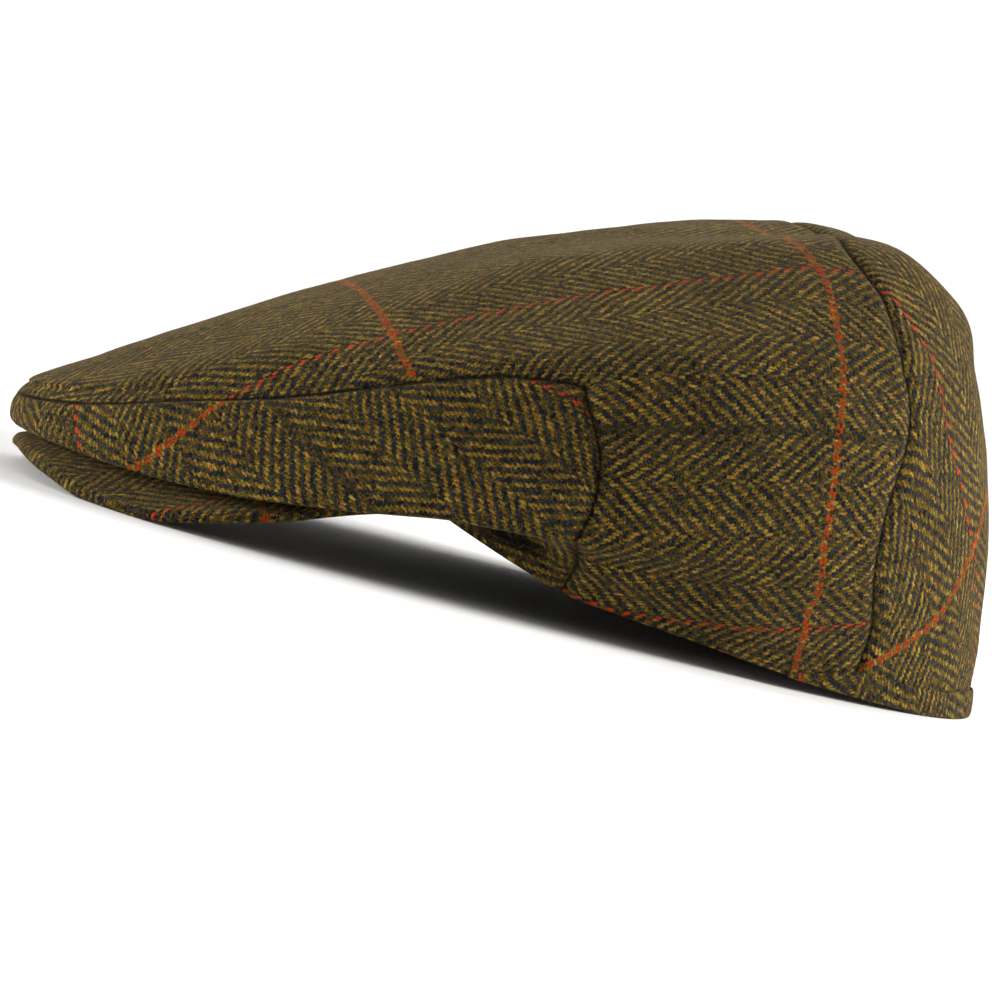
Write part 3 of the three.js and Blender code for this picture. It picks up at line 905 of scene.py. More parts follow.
# %% [markdown]
# ## The tweed
#
# The cloth is a two-and-two twill. Each warp yarn goes over two weft yarns and under two, one
# step on from its neighbour, and every 16 yarns the step changes sign, which makes the
# herringbone. The warp is golden olive wool and the weft is navy, both spun from mixed fibres.
# The formula finds the warp yarn and the weft yarn at a spot, asks which lies on top, and shapes
# and colours that one: round across, bowed along its float, darker where it dives under.

# %% Yarn colours, as light values
OLIVE = (0.090, 0.063, 0.007)
GOLD = (0.172, 0.108, 0.012)
STRAW = (0.380, 0.240, 0.045)
RUSSET = (0.170, 0.054, 0.007)
MOSS = (0.050, 0.047, 0.012)
NAVY = (0.014, 0.038, 0.080)
INK = (0.003, 0.003, 0.003)
PEAT = (0.034, 0.019, 0.005)
SLATE = (0.045, 0.040, 0.022)
ORANGE = (0.430, 0.047, 0.005)
BRICK = (0.260, 0.022, 0.004)
LINT = (0.250, 0.195, 0.080)


# %% The bow of a yarn
def hump(share):
    """0 at both ends of a float and 1 in its middle."""
    off = share * 2.0 - 1.0
    return (1.0 - off * off).math("MAXIMUM", 0.0)


# %% The yarns at a spot
WANDER_SCALE, WANDER = 380.0, 1.5
FRAY_SCALE, FRAY = 2600.0, 1.3
WEFT_HEIGHT = 0.8


def bowed(across, float_share):
    """Height of a yarn: round across, and bowed from one end of its float to the other."""
    return hump(across).power(0.5) * (hump(float_share) * 0.5 + 0.5)


def weave(tree, spot, where):
    """Counts warp yarns (ends) and weft yarns (picks), and says which one is on top."""
    wander = tree.parts(tree.noise(where, WANDER_SCALE, 1.0, 0.5, "Color"))
    fray = tree.parts(tree.noise(where, FRAY_SCALE, 1.0, 0.5, "Color"))
    end_place, pick_place = (
        place / pitch + (slow - 0.5) * WANDER + (quick - 0.5) * FRAY
        for place, pitch, slow, quick in zip(tree.parts(spot), (END_PITCH, PICK_PITCH), wander, fray))
    end, pick = end_place.floor(), pick_place.floor()
    in_end, in_pick = end_place - end, pick_place - pick
    odd = (end / STRIPE_ENDS).floor() % 2.0
    turn = 1.0 - odd * 2.0
    step = (pick + turn * end + odd) % 4.0
    warp_up = step < 1.5
    warp_height = bowed(in_end, (step + in_pick) * 0.5)
    weft_height = bowed(in_pick, (step - 1.5 + turn * (in_end - 0.5)) * 0.5) * WEFT_HEIGHT
    height = weft_height + warp_up * (warp_height - weft_height)
    return {"end": end, "pick": pick, "end_place": end_place, "pick_place": pick_place,
            "warp_up": warp_up, "height": height}


# %% [markdown]
# ## Colour of the yarns
#
# Heather yarn changes colour slowly along its length and from fibre to fibre. A noise that is
# read far apart for each yarn but slowly along it, and a finer one for the fibres, pick a colour
# from a row of dyed wools. The window check is a matter of counting: a yarn whose number is a
# multiple of the window is orange, and those in the middle of the window are dark. Only where
# that yarn lies on top does it show, which is why the warp line is a row of dashes and the weft
# line, two yarns wide, is nearly solid. Last, patches of the cloth lean to blue, green or red.

# %% Heather of the yarns
YARN_APART, YARN_ALONG = 3.7, 0.30
FIBRES_ACROSS, FIBRES_ALONG = 5.0, 1.6
PATCH_ACROSS, PATCH_ALONG = 0.9, 0.55
WARP_WOOLS = [(0.04, INK), (0.18, PEAT), (0.28, MOSS), (0.42, OLIVE),
              (0.54, GOLD), (0.64, RUSSET), (0.70, GOLD), (0.94, STRAW)]
WEFT_WOOLS = [(0.30, INK), (0.48, NAVY), (0.60, PEAT), (0.70, SLATE), (0.82, OLIVE), (1.00, GOLD)]
ORANGE_WOOLS = [(0.24, PEAT), (0.36, BRICK), (0.52, ORANGE)]
PATCH_TINTS = [(0.30, (0.66, 0.98, 1.10)), (0.42, (0.90, 1.04, 0.85)),
               (0.56, (1.04, 1.00, 0.95)), (0.70, (1.35, 0.80, 0.80))]
# contrast along the yarn, contrast from fibre to fibre, and the middle of the row of wools
WARP_MIX = (2.2, 3.0, 0.5)
WEFT_MIX = (1.8, 2.6, 0.46)
DARK_SHARE, DARK_HALF_WIDTH = 0.6, 1.2
# counts below these are a window's first yarn, and its first two
FIRST_YARN, FIRST_TWO = 0.5, 1.5


def heather(tree, x, y, strand):
    return tree.noise(tree.node("ShaderNodeCombineXYZ", None, {"X": x, "Y": y, "Z": strand}), 1.0)


def spun(tree, slow, fibre, mix, wools):
    return tree.ramp((slow - 0.5) * mix[0] + (fibre - 0.5) * mix[1] + mix[2], wools)


# %% Heathered yarns and the window check
def yarn_colours(tree, yarns):
    end, pick = yarns["end"], yarns["pick"]
    across, along = yarns["end_place"], yarns["pick_place"]
    warp_slow = heather(tree, end * YARN_APART, along * YARN_ALONG, 0.0)
    weft_slow = heather(tree, across * YARN_ALONG, pick * YARN_APART, 9.0)
    warp_fibre = heather(tree, across * FIBRES_ACROSS, along * FIBRES_ALONG, 4.0)
    weft_fibre = heather(tree, across * FIBRES_ALONG, along * FIBRES_ACROSS, 6.0)
    warp = spun(tree, warp_slow, warp_fibre, WARP_MIX, WARP_WOOLS)
    weft = spun(tree, weft_slow, weft_fibre, WEFT_MIX, WEFT_WOOLS)
    window_end = end % float(WINDOW_ENDS)
    window_pick = (pick + 1.0) % float(WINDOW_PICKS)
    dark_end = abs(window_end - WINDOW_ENDS / 2) < DARK_HALF_WIDTH
    dark_pick = abs(window_pick - WINDOW_PICKS / 2) < DARK_HALF_WIDTH
    warp = tree.blend(dark_end * DARK_SHARE, warp, (*INK, 1))
    weft = tree.blend(dark_pick * DARK_SHARE, weft, (*INK, 1))
    orange = tree.ramp(warp_fibre, ORANGE_WOOLS)
    # the first warp yarn of a window is orange all over, and the one beside it only half
    warp = tree.blend((window_end < FIRST_YARN) * 0.5 + (window_end < FIRST_TWO) * 0.5, warp, orange)
    weft = tree.blend(window_pick < FIRST_TWO, weft, orange)
    plain = (window_end > FIRST_TWO) * (window_pick > FIRST_TWO)
    tint = tree.ramp(heather(tree, across * PATCH_ACROSS, along * PATCH_ALONG, 12.0), PATCH_TINTS)
    colour = tree.blend(yarns["warp_up"], weft, warp)
    return tree.blend(plain, colour, tree.blend(1.0, colour, tint, "MULTIPLY")), warp_fibre


# %% [markdown]
# ## The finished cloth
#
# Shade between the yarns is painted into the colour, loose fibres of pale wool lie over
# everything, and the whole cloth is a little uneven. The height of the yarns goes into a bump, and
# sheen gives the grey bloom that brushed wool has where it is seen at a flat angle. The hem and the
# visor get the same tweed, a little darker.


# %% Tweed material
CROWN_LIGHT, TRIM_LIGHT = 0.80, 0.76
YARN_TOP, YARN_GAP = 1.08, 0.11
UNEVEN_SCALE, UNEVEN_RANGE, UNEVEN_LEAST = 30.0, 0.8, 0.6
LINT_SCALE, LINT_START, LINT_CONTRAST, LINT_SHARE = 1900.0, 0.58, 6.0, 0.12
BUMP_DEPTH, BUMP_STRENGTH, FIBRE_BUMP = 0.30 * MM, 0.8, 0.5
WOOL_SHEEN = {"Roughness": 0.95, "Specular IOR Level": 0.08, "Sheen Weight": 0.11,
              "Sheen Roughness": 0.28, "Sheen Tint": (0.95, 0.76, 0.40, 1)}


def tweed(name, light):
    """light is how much of its colour the cloth keeps where it lies open."""
    material, tree, shader = blank_material(name, WOOL_SHEEN)
    where = tree.node("ShaderNodeTexCoord", None, None, "Object")
    spot = tree.node("ShaderNodeUVMap", {"uv_map": "cloth"}, None, "UV")
    # the seam attribute is painted shade: along the seam grooves, in the fold under the front overhang,
    # and on the visor under that overhang
    seam = tree.node("ShaderNodeAttribute", {"attribute_name": "seam"}, None, "Fac")
    yarns = weave(tree, spot, where)
    colour, fibre = yarn_colours(tree, yarns)
    uneven = tree.noise(where, UNEVEN_SCALE, 3.0)
    # painted shade between the yarns, from their height, times a tone that varies at random
    shade = (yarns["height"] * YARN_TOP + YARN_GAP) * (uneven * UNEVEN_RANGE + UNEVEN_LEAST)
    colour = tree.blend(1.0, colour, shade * light * (1.0 - seam), "MULTIPLY")
    fluff = (tree.noise(where, LINT_SCALE, 3.0, 0.65) - LINT_START) * LINT_CONTRAST
    lint = fluff.clamped() * LINT_SHARE * (1.0 - seam)
    colour = tree.blend(lint, colour, (*LINT, 1))
    bump = tree.node("ShaderNodeBump", None, {
        "Strength": BUMP_STRENGTH, "Distance": BUMP_DEPTH,
        "Height": yarns["height"] + fibre * FIBRE_BUMP + lint})
    tree.join(colour, shader.inputs["Base Color"])
    tree.join(bump, shader.inputs["Normal"])
    return material


CROWN_CLOTH = tweed("crown_tweed", CROWN_LIGHT)
BAND_CLOTH = tweed("band_tweed", TRIM_LIGHT)
VISOR_CLOTH = tweed("visor_tweed", TRIM_LIGHT)
print("nodes in the crown's tweed:", len(CROWN_CLOTH.node_tree.nodes))

# %% [markdown]
# ## Relief of sewn cloth
#
# Two panels that are sewn together sink into their seam, and the turned edges behind it lift the
# cloth a little on both sides; the shade in the groove is painted into the colour. The thread
# pulls small puckers along it. Away from the seams, steamed wool is never quite smooth, so a slow
# noise moves it by a few tenths of a millimetre. Two larger forms come with it: the tuck where the
# front panel folds under its own overhang, and the fuller cloth low on the side, behind the temple
# seam. The shade that lies in that fold is painted into the colour too. A cloth simulation could
# make such folds, but it would let the crown sag out of the shape that it was steamed to, so each
# point is moved by rule along the way out of the cloth.

# %% Seam lines, for measuring the distance to them
SEAM_SAMPLES = 400


def seam_lines():
    share = np.linspace(0, 1, SEAM_SAMPLES)
    crown_angle = CORNER_ANGLE * share
    lines = [
        crown_points(crown_angle, crown_seam_level(crown_angle)),
        crown_points(temple_angle(share * CORNER_LEVEL), share * CORNER_LEVEL),
        crown_points(rear_angle(share), share),
        crown_points(np.full(SEAM_SAMPLES, math.pi), share),
        crown_points(np.zeros(SEAM_SAMPLES), share * crown_seam_level(np.zeros(1))),
    ]
    return np.concatenate(lines)


seam_points = seam_lines()
seam_tree = kdtree.KDTree(len(seam_points))
for index, point in enumerate(seam_points):
    seam_tree.insert(point, index)
seam_tree.balance()
print(len(seam_points), "seam samples")

# %% Relief along the normal: depths in millimetres, angles in degrees, heights as levels
SEAM_SINK, SEAM_WIDTH = 0.90, 1.5
SEAM_SHOULDER, SHOULDER_AWAY, SHOULDER_WIDTH = 0.20, 4.0, 2.6
# painted shade along the seam grooves: how dark it is at the seam line, and its width in millimetres
SEAM_PAINTED_SHADE, SEAM_PAINTED_SHADE_WIDTH = 1.5, 0.60
PUCKER, PUCKER_SIZE, PUCKER_REACH = 0.16, 3.2, 5.0
UNEVEN, UNEVEN_LONG, UNEVEN_SHORT = 0.45, 26.0, 11.0
TUCK_DEEP = 1.2
TUCK_ANGLE, TUCK_SPREAD = 59, 7
TUCK_LEVEL, TUCK_TALL = 0.13, 0.055
# painted shade in the fold under the front overhang: its strength, its place and its spread
SHADE_DEEP = 1.3
SHADE_ANGLE, SHADE_SPREAD = 61, 6.5
SHADE_LEVEL, SHADE_TALL = 0.066, 0.034
SIDE_SWELL = 4.4
SWELL_LEVEL, SWELL_TALL = 0.088, 0.060
SWELL_FROM, SWELL_TO = (65, 75), (100, 124)


def bump_along(value, middle, width):
    return np.exp(-((value - middle) / width) ** 2)


def relief(points, angle, level):
    """For each point the rise of the cloth, its sink into a seam and its painted shade."""
    degrees = np.degrees(np.abs(angle))
    tucked = bump_along(degrees, TUCK_ANGLE, TUCK_SPREAD)
    beside = smoothstep(degrees, *SWELL_FROM) * (1 - smoothstep(degrees, *SWELL_TO))
    rise = (SIDE_SWELL * beside * bump_along(level, SWELL_LEVEL, SWELL_TALL)
            - TUCK_DEEP * tucked * bump_along(level, TUCK_LEVEL, TUCK_TALL))
    sink = np.zeros(len(points))
    # painted shade in the fold under the front overhang; the seams' painted shade is added below
    dark = np.minimum(1, SHADE_DEEP * bump_along(degrees, SHADE_ANGLE, SHADE_SPREAD)
                      * bump_along(level, SHADE_LEVEL, SHADE_TALL))
    for index, point in enumerate(points):
        away = seam_tree.find(Vector((abs(point[0]), point[1], point[2])))[2]
        pucker = PUCKER * noise.noise(Vector(point) / PUCKER_SIZE)
        slow = (noise.noise(Vector(point) / UNEVEN_LONG)
                + 0.5 * noise.noise(Vector(point) / UNEVEN_SHORT))
        rise[index] += slow * UNEVEN
        sink[index] = (pucker * bump_along(away, 0, PUCKER_REACH)
                       + SEAM_SHOULDER * bump_along(away, SHOULDER_AWAY, SHOULDER_WIDTH)
                       - SEAM_SINK * bump_along(away, 0, SEAM_WIDTH))
        # painted shade along the seam groove, darkest at the seam line
        dark[index] = max(dark[index], min(1.0, SEAM_PAINTED_SHADE * bump_along(away, 0, SEAM_PAINTED_SHADE_WIDTH)))
    return rise, sink, dark


# %% [markdown]
# ## From grid to cloth wall
#
# The outer face is copied one wall further in, and a strip closes every free edge. Solidify would
# do nearly the same, but here the inner face has to stay smooth where a seam sinks into the outer
# one. A bevel then rounds the edges, as folded cloth is round: at a seam the two round edges make
# the groove.

# %% Building a wall
EDGE_ROUND = 0.75 * MM
EDGE_SEGMENTS = 3
EDGE_ANGLE = 50
FLIP = np.array([-1, 1, 1])


def wall_faces(cells, count):
    """Outer faces, inner faces and the strips between them at free edges."""
    faces = []
    edges = set()
    for cell in cells.tolist():
        ring = [v for i, v in enumerate(cell) if v != cell[i - 1]]
        faces.append(ring)
        faces.append([v + count for v in reversed(ring)])
        edges.update(zip(ring, ring[1:] + ring[:1]))
    for a, b in sorted(edges):
        if (b, a) not in edges:
            faces.append([a, a + count, b + count, b])
    return faces


def add_mesh(name, points, faces, cloth, material, seam=None, inner=0):
    """points in millimetres from the head opening's middle, cloth one flat place for each, seam
    the painted shade of each one, and inner how many of them, at the end, are on the wall's inner face."""
    mesh = bpy.data.meshes.new(name)
    mesh.from_pydata(((points + [0, ORIGIN_SHIFT, 0]) * MM).tolist(), [], faces)
    layer = mesh.uv_layers.new(name="cloth")
    corner = np.zeros(len(mesh.loops), np.int32)
    mesh.loops.foreach_get("vertex_index", corner)
    layer.data.foreach_set("uv", cloth[corner].astype(np.float32).ravel())
    outside = np.arange(len(points)) < len(points) - inner
    dark = np.zeros(len(points)) if seam is None else seam
    for word, values in (("seam", dark), ("outside", outside)):
        mesh.attributes.new(word, "FLOAT", "POINT").data.foreach_set("value", values.astype(np.float32))
    mesh.materials.append(material)
    mesh.shade_smooth()
    return put_in_scene(name, mesh)


def round_edges(made):
    bevel = made.modifiers.new("round_edges", "BEVEL")
    bevel.width = EDGE_ROUND
    bevel.segments = EDGE_SEGMENTS
    bevel.limit_method = "ANGLE"
    bevel.angle_limit = math.radians(EDGE_ANGLE)
    return made


def tube_faces(columns, ring, turned_over=False):
    """Faces of a closed tube: a ring of points in each column, and a cap at each end."""
    sides = []
    for column in range(columns - 1):
        for i in range(ring):
            a, b = column * ring + i, column * ring + (i + 1) % ring
            sides.append([a, b, b + ring, a + ring])
    last = (columns - 1) * ring
    caps = [list(range(ring - 1, -1, -1)), list(range(last, last + ring))]
    if turned_over:
        sides = [[a, d, c, b] for a, b, c, d in sides]
        caps = [cap[::-1] for cap in caps]
    return sides + caps


def sewn_panel(name, faces, outer, inner, cloth, seam):
    """A wall from its two faces, with the same cloth and the same painted shade on both."""
    return round_edges(add_mesh(name, np.concatenate([outer, inner]), faces,
                                np.concatenate([cloth, cloth]), CROWN_CLOTH,
                                np.concatenate([seam, seam]), len(inner)))


def spread(coarse, laid, fine):
    """Flat places of a fine lattice, between those of the coarse one."""
    i = np.clip(np.floor(fine.column * COARSE).astype(int), 0, coarse.ids.shape[0] - 2)
    j = np.clip(np.floor(fine.row * COARSE).astype(int), 0, coarse.ids.shape[1] - 2)
    s = (fine.column * COARSE - i)[:, None]
    t = (fine.row * COARSE - j)[:, None]
    ids = coarse.ids
    return ((laid[ids[i, j]] * (1 - s) + laid[ids[i + 1, j]] * s) * (1 - t)
            + (laid[ids[i, j + 1]] * (1 - s) + laid[ids[i + 1, j + 1]] * s) * t)


def flat_cut(cloth, cells):
    """Width, length and area of a panel's flat layout, in metres and square metres."""
    width, length = np.ptp(cloth, axis=0) * MM
    x, y = cloth[cells][:, :, 0], cloth[cells][:, :, 1]
    doubled = np.sum(x * np.roll(y, -1, 1) - y * np.roll(x, -1, 1), 1)
    area = abs(doubled).sum() / 2 * MM * MM
    return {"flat": (round(float(width), 3), round(float(length), 3)), "area": round(float(area), 4)}


def wall_points(fine):
    """Outer and inner points, with the relief of sewn cloth on both, and each point's painted shade."""
    normals = crown_normals(fine.angle, fine.level)
    rise, sink, dark = relief(fine.points, fine.angle, fine.level)
    inner = fine.points + normals * (rise - WALL)[:, None]
    outer = fine.points + normals * (rise + sink)[:, None]
    for points in (outer, inner):
        points[:, 2] = np.maximum(points[:, 2], 0)
    return outer, inner, dark


# %% [markdown]
# ## The top panel
#
# The biggest piece: the whole top, down to the rim on both sides. It could be sculpted from a
# block, but the threads of the mesh would then run anywhere, and the grid keeps them along the
# seams. The left half is made on the grid and mirrored, and the two halves share the middle line.
# The flat layout carries on across that line, so the weave is one piece of cloth.

# %% Top panel
LIP = 0.09
top_fine = Lattice(
    runs(0, (FRONT_COLUMNS, 6), (FRONT_COLUMNS + LIP, 0), (ALL_COLUMNS - LIP, 6), (ALL_COLUMNS, 0)),
    runs(0, (LOWER_ROWS, 4), (LOWER_ROWS + LIP, 0), (CROWN_ROWS, 10)),
    top_panel_place, True, front_cut)
top_outer, top_inner, top_painted_shade = wall_points(top_fine)
top_cloth = spread(top_coarse, top_laid, top_fine)


def both_halves(fine, outer, inner, cloth, seam):
    """The left half and its mirror image, joined along the middle line."""
    count = len(outer)
    on_middle = fine.column == 0
    on_middle[fine.ids[0, -1]] = True
    twin = np.arange(count)
    twin[~on_middle] = count + np.arange((~on_middle).sum())
    outer[on_middle, 0] = 0
    inner[on_middle, 0] = 0
    cells = np.concatenate([fine.cells, twin[fine.cells][:, [0, 3, 2, 1]]])
    far_cloth = cloth[~on_middle] * [-1, 1]
    return (np.concatenate([outer, outer[~on_middle] * FLIP]),
            np.concatenate([inner, inner[~on_middle] * FLIP]),
            np.concatenate([cloth, far_cloth]), np.concatenate([seam, seam[~on_middle]]), cells)


# seam here is each point's painted shade
outer, inner, cloth, seam, cells = both_halves(top_fine, top_outer, top_inner, top_cloth, top_painted_shade)
cloth = cloth - [SHOULDER_LINE, 0]
top_panel = sewn_panel("top_panel", wall_faces(cells, len(outer)), outer, inner, cloth, seam)
top_cut = flat_cut(cloth, cells)
print("top panel:", len(top_panel.data.polygons), "faces, flat", top_cut)

# %% [markdown]
# ## Front side panels and back panels
#
# The front side panels bulge over the visor and fold under, and the back panels close the crown
# behind. Each is made once on the left and mirrored to the right, weave and all, as a cutter lays
# one pattern piece down twice, once on each side. A Mirror modifier could do that too, but the
# real ones are separate pieces of cloth, and so are these.


# %% A panel and its mirror image
def pair_of_panels(name, fine, cloth):
    # seam is each point's painted shade
    outer, inner, seam = wall_points(fine)
    made = []
    for word, flip, order in (("left", 1, [0, 1, 2, 3]), ("right", FLIP, [0, 3, 2, 1])):
        faces = wall_faces(fine.cells[:, order], len(outer))
        made.append(sewn_panel(f"{name}_{word}", faces, outer * flip, inner * flip, cloth, seam))
    print(name, "pair:", len(made[0].data.polygons), "faces each")
    return made


front_fine = Lattice(
    runs(0, (LIP, 0), (FRONT_COLUMNS - LIP, 6), (FRONT_COLUMNS, 0)),
    runs(0, (LOWER_ROWS - LIP, 6), (LOWER_ROWS, 0)), front_panel_place, False)
front_cloth = spread(front_coarse, front_laid, front_fine)
front_panels = pair_of_panels("front_side", front_fine, front_cloth)
back_fine = Lattice(
    runs(0, (LIP, 0), (BACK_COLUMNS - LIP, 7), (BACK_COLUMNS, 0)),
    runs(0, (LOWER_ROWS, 5), (CROWN_ROWS, 8)), back_panel_place, True)
back_cloth = spread(back_coarse, back_laid, back_fine)
back_panels = pair_of_panels("back", back_fine, back_cloth)

# %% [markdown]
# ## The hem at the back
#
# The cloth is turned up round the back of the rim as a narrow hem that tapers away at its ends.
# It is swept round the rim as a rounded flat section, thinner at its top edge, where it is
# pressed against the panel. The weave on it carries on from the panel above it, so each point
# takes its flat place from the edge of that panel. At the rear seam the cloth changes, and two
# columns stand close together there. It could be pulled out of the panels' own edge, but a strip
# of its own can be thinner than they are and can run past the rear seam.

# %% Flat places along the edge of a panel
def panel_edge(fine, cloth, angle):
    """Flat place on the rim at an angle, and how it changes for each millimetre up."""
    low, high = fine.ids[:, 0], fine.ids[:, 1]
    kept = (low >= 0) & (high >= 0)
    low, high = low[kept], high[kept]
    rise = np.linalg.norm(fine.points[high] - fine.points[low], axis=1)[:, None]
    climb = (cloth[high] - cloth[low]) / rise
    order = np.argsort(fine.angle[low])
    at = fine.angle[low][order]
    place = [np.interp(angle, at, cloth[low][order][:, i]) for i in (0, 1)]
    slope = [np.interp(angle, at, climb[order][:, i]) for i in (0, 1)]
    return np.stack(place, 1), np.stack(slope, 1)


# %% Hem band
BAND_COLUMNS = 220
BAND_SECTION = 20
BAND_SLIP = -8
SEAM_GAP = 0.0006
HEM_STEP = 0.008
HEM_SQUARE_UP, HEM_SQUARE_OUT, HEM_THINNING = 0.5, 0.6, 0.5
CLOTH_TURN = 1.5


def band_section():
    """A flat oval: first number up the band, second out from the cloth."""
    turn = np.arange(BAND_SECTION) / BAND_SECTION * 2 * math.pi
    up = (1 - np.sign(np.cos(turn)) * np.abs(np.cos(turn)) ** HEM_SQUARE_UP) / 2
    out = (1 + np.sign(np.sin(turn)) * np.abs(np.sin(turn)) ** HEM_SQUARE_OUT) / 2
    return up, out * (1 - HEM_THINNING * up ** 2)


def hem_band():
    turned_back = math.pi - math.radians(BAND_START_ANGLE)
    seam_share = (math.pi - float(rear_angle(np.zeros(1))[0])) / turned_back
    close = np.array([seam_share - SEAM_GAP, seam_share + SEAM_GAP])
    share = np.sort(np.concatenate([np.linspace(-1, 1, BAND_COLUMNS + 1), close, -close]))
    angle = math.pi - turned_back * np.abs(share)
    taper = smoothstep(angle, math.radians(BAND_START_ANGLE), math.radians(BAND_FULL_ANGLE))
    height = BAND_END_HEIGHT + (BAND_HEIGHT - BAND_END_HEIGHT) * taper
    climb = crown_points(angle, np.full_like(angle, HEM_STEP)) - crown_points(angle, angle * 0)
    hem_level = height / (np.linalg.norm(climb, axis=1) / HEM_STEP)
    back_place, back_slope = panel_edge(back_fine, back_cloth, angle)
    side_place, side_slope = panel_edge(top_fine, top_cloth - [SHOULDER_LINE, 0], angle)
    on_back = (np.abs(share) < seam_share)[:, None]
    place = np.where(on_back, back_place, side_place)
    slope = np.where(on_back, back_slope, side_slope)
    points = []
    cloth = []
    for up, out in zip(*band_section()):
        level = hem_level * up
        normal = crown_normals(angle, level)
        spot = crown_points(angle, level) + normal * (BAND_GAP + BAND_THICKNESS * out)[..., None]
        spot[:, 0] *= np.where(share < 0, -1, 1)
        spot[:, 2] = np.maximum(spot[:, 2], 0)
        points.append(spot)
        cloth.append(place + slope * (height * up + BAND_SLIP + CLOTH_TURN * out)[:, None])
    return np.stack(points, 1), np.stack(cloth, 1)


band_points, band_cloth = hem_band()
hem = add_mesh("hem", band_points.reshape(-1, 3), tube_faces(*band_points.shape[:2]),
               band_cloth.reshape(-1, 2), BAND_CLOTH)
print("hem:", len(hem.data.polygons), "faces")

# %% [markdown]
# ## The visor
#
# Its stiff board is covered in one piece of tweed above and one below. A bent plane with a
# Solidify modifier would end in a square edge, so it is made as closed sections from wing to
# wing, with a round outer edge, and the cloth is laid on it as it would be from above. Little
# light reaches the slit between the visor and the panels that hang over it, so the visor's cloth
# is shaded by its distance to them.

# %% Visor
VISOR_COLUMNS = 150
VISOR_ROWS = 34
EDGE_STEPS = 9
WIDEST_EDGE = 0.4
VISOR_WARP = 61.3
VISOR_WEFT = -105.6
VISOR_SLANT = 8
WING_SHARE = 0.985
GAP_SHADE = 2.4 * MM


def visor_section(thickness, stand_out):
    """(out, up) round one section, from the rim along the lower face and back on top."""
    edge = min(thickness / 2 / stand_out, WIDEST_EDGE)
    flat = np.linspace(0, 1 - edge, VISOR_ROWS)
    turn = np.arange(1, EDGE_STEPS) / EDGE_STEPS * math.pi
    out = np.concatenate([flat, 1 - edge + edge * np.sin(turn), flat[::-1]])
    up = np.concatenate([flat * 0, (1 - np.cos(turn)) / 2, flat * 0 + 1])
    return out, up


def cloth_reach(out, height):
    """How far the cloth reaches from the rim, measured along it: in front and back faces."""
    step = np.hypot(np.diff(out), np.diff(height))
    there = np.concatenate([[0], np.cumsum(step)])
    back = there[-1] - there
    return np.minimum(there, back)


def visor_mesh():
    """The points of every section, and the flat place of each."""
    points = []
    flat = []
    for angle in np.radians(np.linspace(-WING_SHARE, WING_SHARE, VISOR_COLUMNS + 1) * VISOR_WING_ANGLE):
        spot = np.array([angle])
        stand_out = float(visor_stand_out(spot)[0])
        thickness = float(visor_thickness_at(spot)[0])
        out, up = visor_section(thickness, stand_out)
        radius = float(rim_radius(spot)[0]) + stand_out * out
        height = visor_lower_face(np.full_like(out, angle), out) + up * thickness
        points.append(np.stack([radius * math.sin(angle), -radius * math.cos(angle), height], 1))
        reach = radius[0] + cloth_reach(radius, height)
        flat.append(np.stack([reach * math.sin(angle), -reach * math.cos(angle)], 1))
    return np.array(points), np.array(flat).reshape(-1, 2)


def shade_below(panel, points):
    """How dark the visor lies at each point, from its distance to the panel hanging over it."""
    overhang = kdtree.KDTree(len(panel.data.vertices))
    for vertex in panel.data.vertices:
        overhang.insert(vertex.co, vertex.index)
    overhang.balance()
    away = np.array([overhang.find(Vector((abs(x), y, z)))[2]
                     for x, y, z in (points + [0, ORIGIN_SHIFT, 0]) * MM])
    return bump_along(away, 0, GAP_SHADE)


visor_sections, visor_flat = visor_mesh()
visor_faces = tube_faces(*visor_sections.shape[:2], turned_over=True)
visor_points = visor_sections.reshape(-1, 3)
visor_flat = turned(visor_flat - [VISOR_WARP, VISOR_WEFT], -VISOR_SLANT)
# the visor's seam values are the painted shade under the overhang
visor = add_mesh("visor_piece", visor_points, visor_faces, visor_flat, VISOR_CLOTH,
                 shade_below(front_panels[0], visor_points))
print("visor:", len(visor.data.polygons), "faces")

# %% [markdown]
# ## Loose wool
#
# Brushed tweed has a thin bloom of loose fibres. They are too fine to model one by one by hand,
# and they follow the surface, so Geometry Nodes scatter them: points are spread over the outer
# faces, one short bent ribbon is set on each, laid nearly flat and turned at random, and all of
# them become one mesh. The fibres are what catches the light along the outline.

# %% One fibre and its scatter
FIBRE_LENGTH = 2.6 * MM
FIBRE_WIDTH = 0.055 * MM
FIBRE_LIFT = 0.35 * MM
FIBRE_BEND = 0.5
FIBRE_START = 0.35
FIBRE_SIZES = (0.45, 1.2)
FIBRES_FOR_EACH_M2 = 0.30e6
TURN_SEED, SIZE_SEED = 5, 8


class Graph(Tree):
    """A Geometry Nodes tree with named inputs."""

    def __init__(self, name):
        super().__init__(bpy.data.node_groups.new(name, "GeometryNodeTree"))
        for way in ("INPUT", "OUTPUT"):
            self.tree.interface.new_socket("Geometry", in_out=way, socket_type="NodeSocketGeometry")
        self.into = self.tree.nodes.new("NodeGroupInput")
        self.end = self.tree.nodes.new("NodeGroupOutput")

    def input(self, name, kind, value=None):
        socket = self.tree.interface.new_socket(name, in_out="INPUT", socket_type=kind)
        if value is not None:
            socket.default_value = value
        return Wire(self, self.into.outputs[name])

    def random(self, between, seed):
        """A number for each point."""
        return self.node("FunctionNodeRandomValue", {"data_type": "FLOAT"},
                         {2: between[0], 3: between[1], "Seed": seed}, 1)


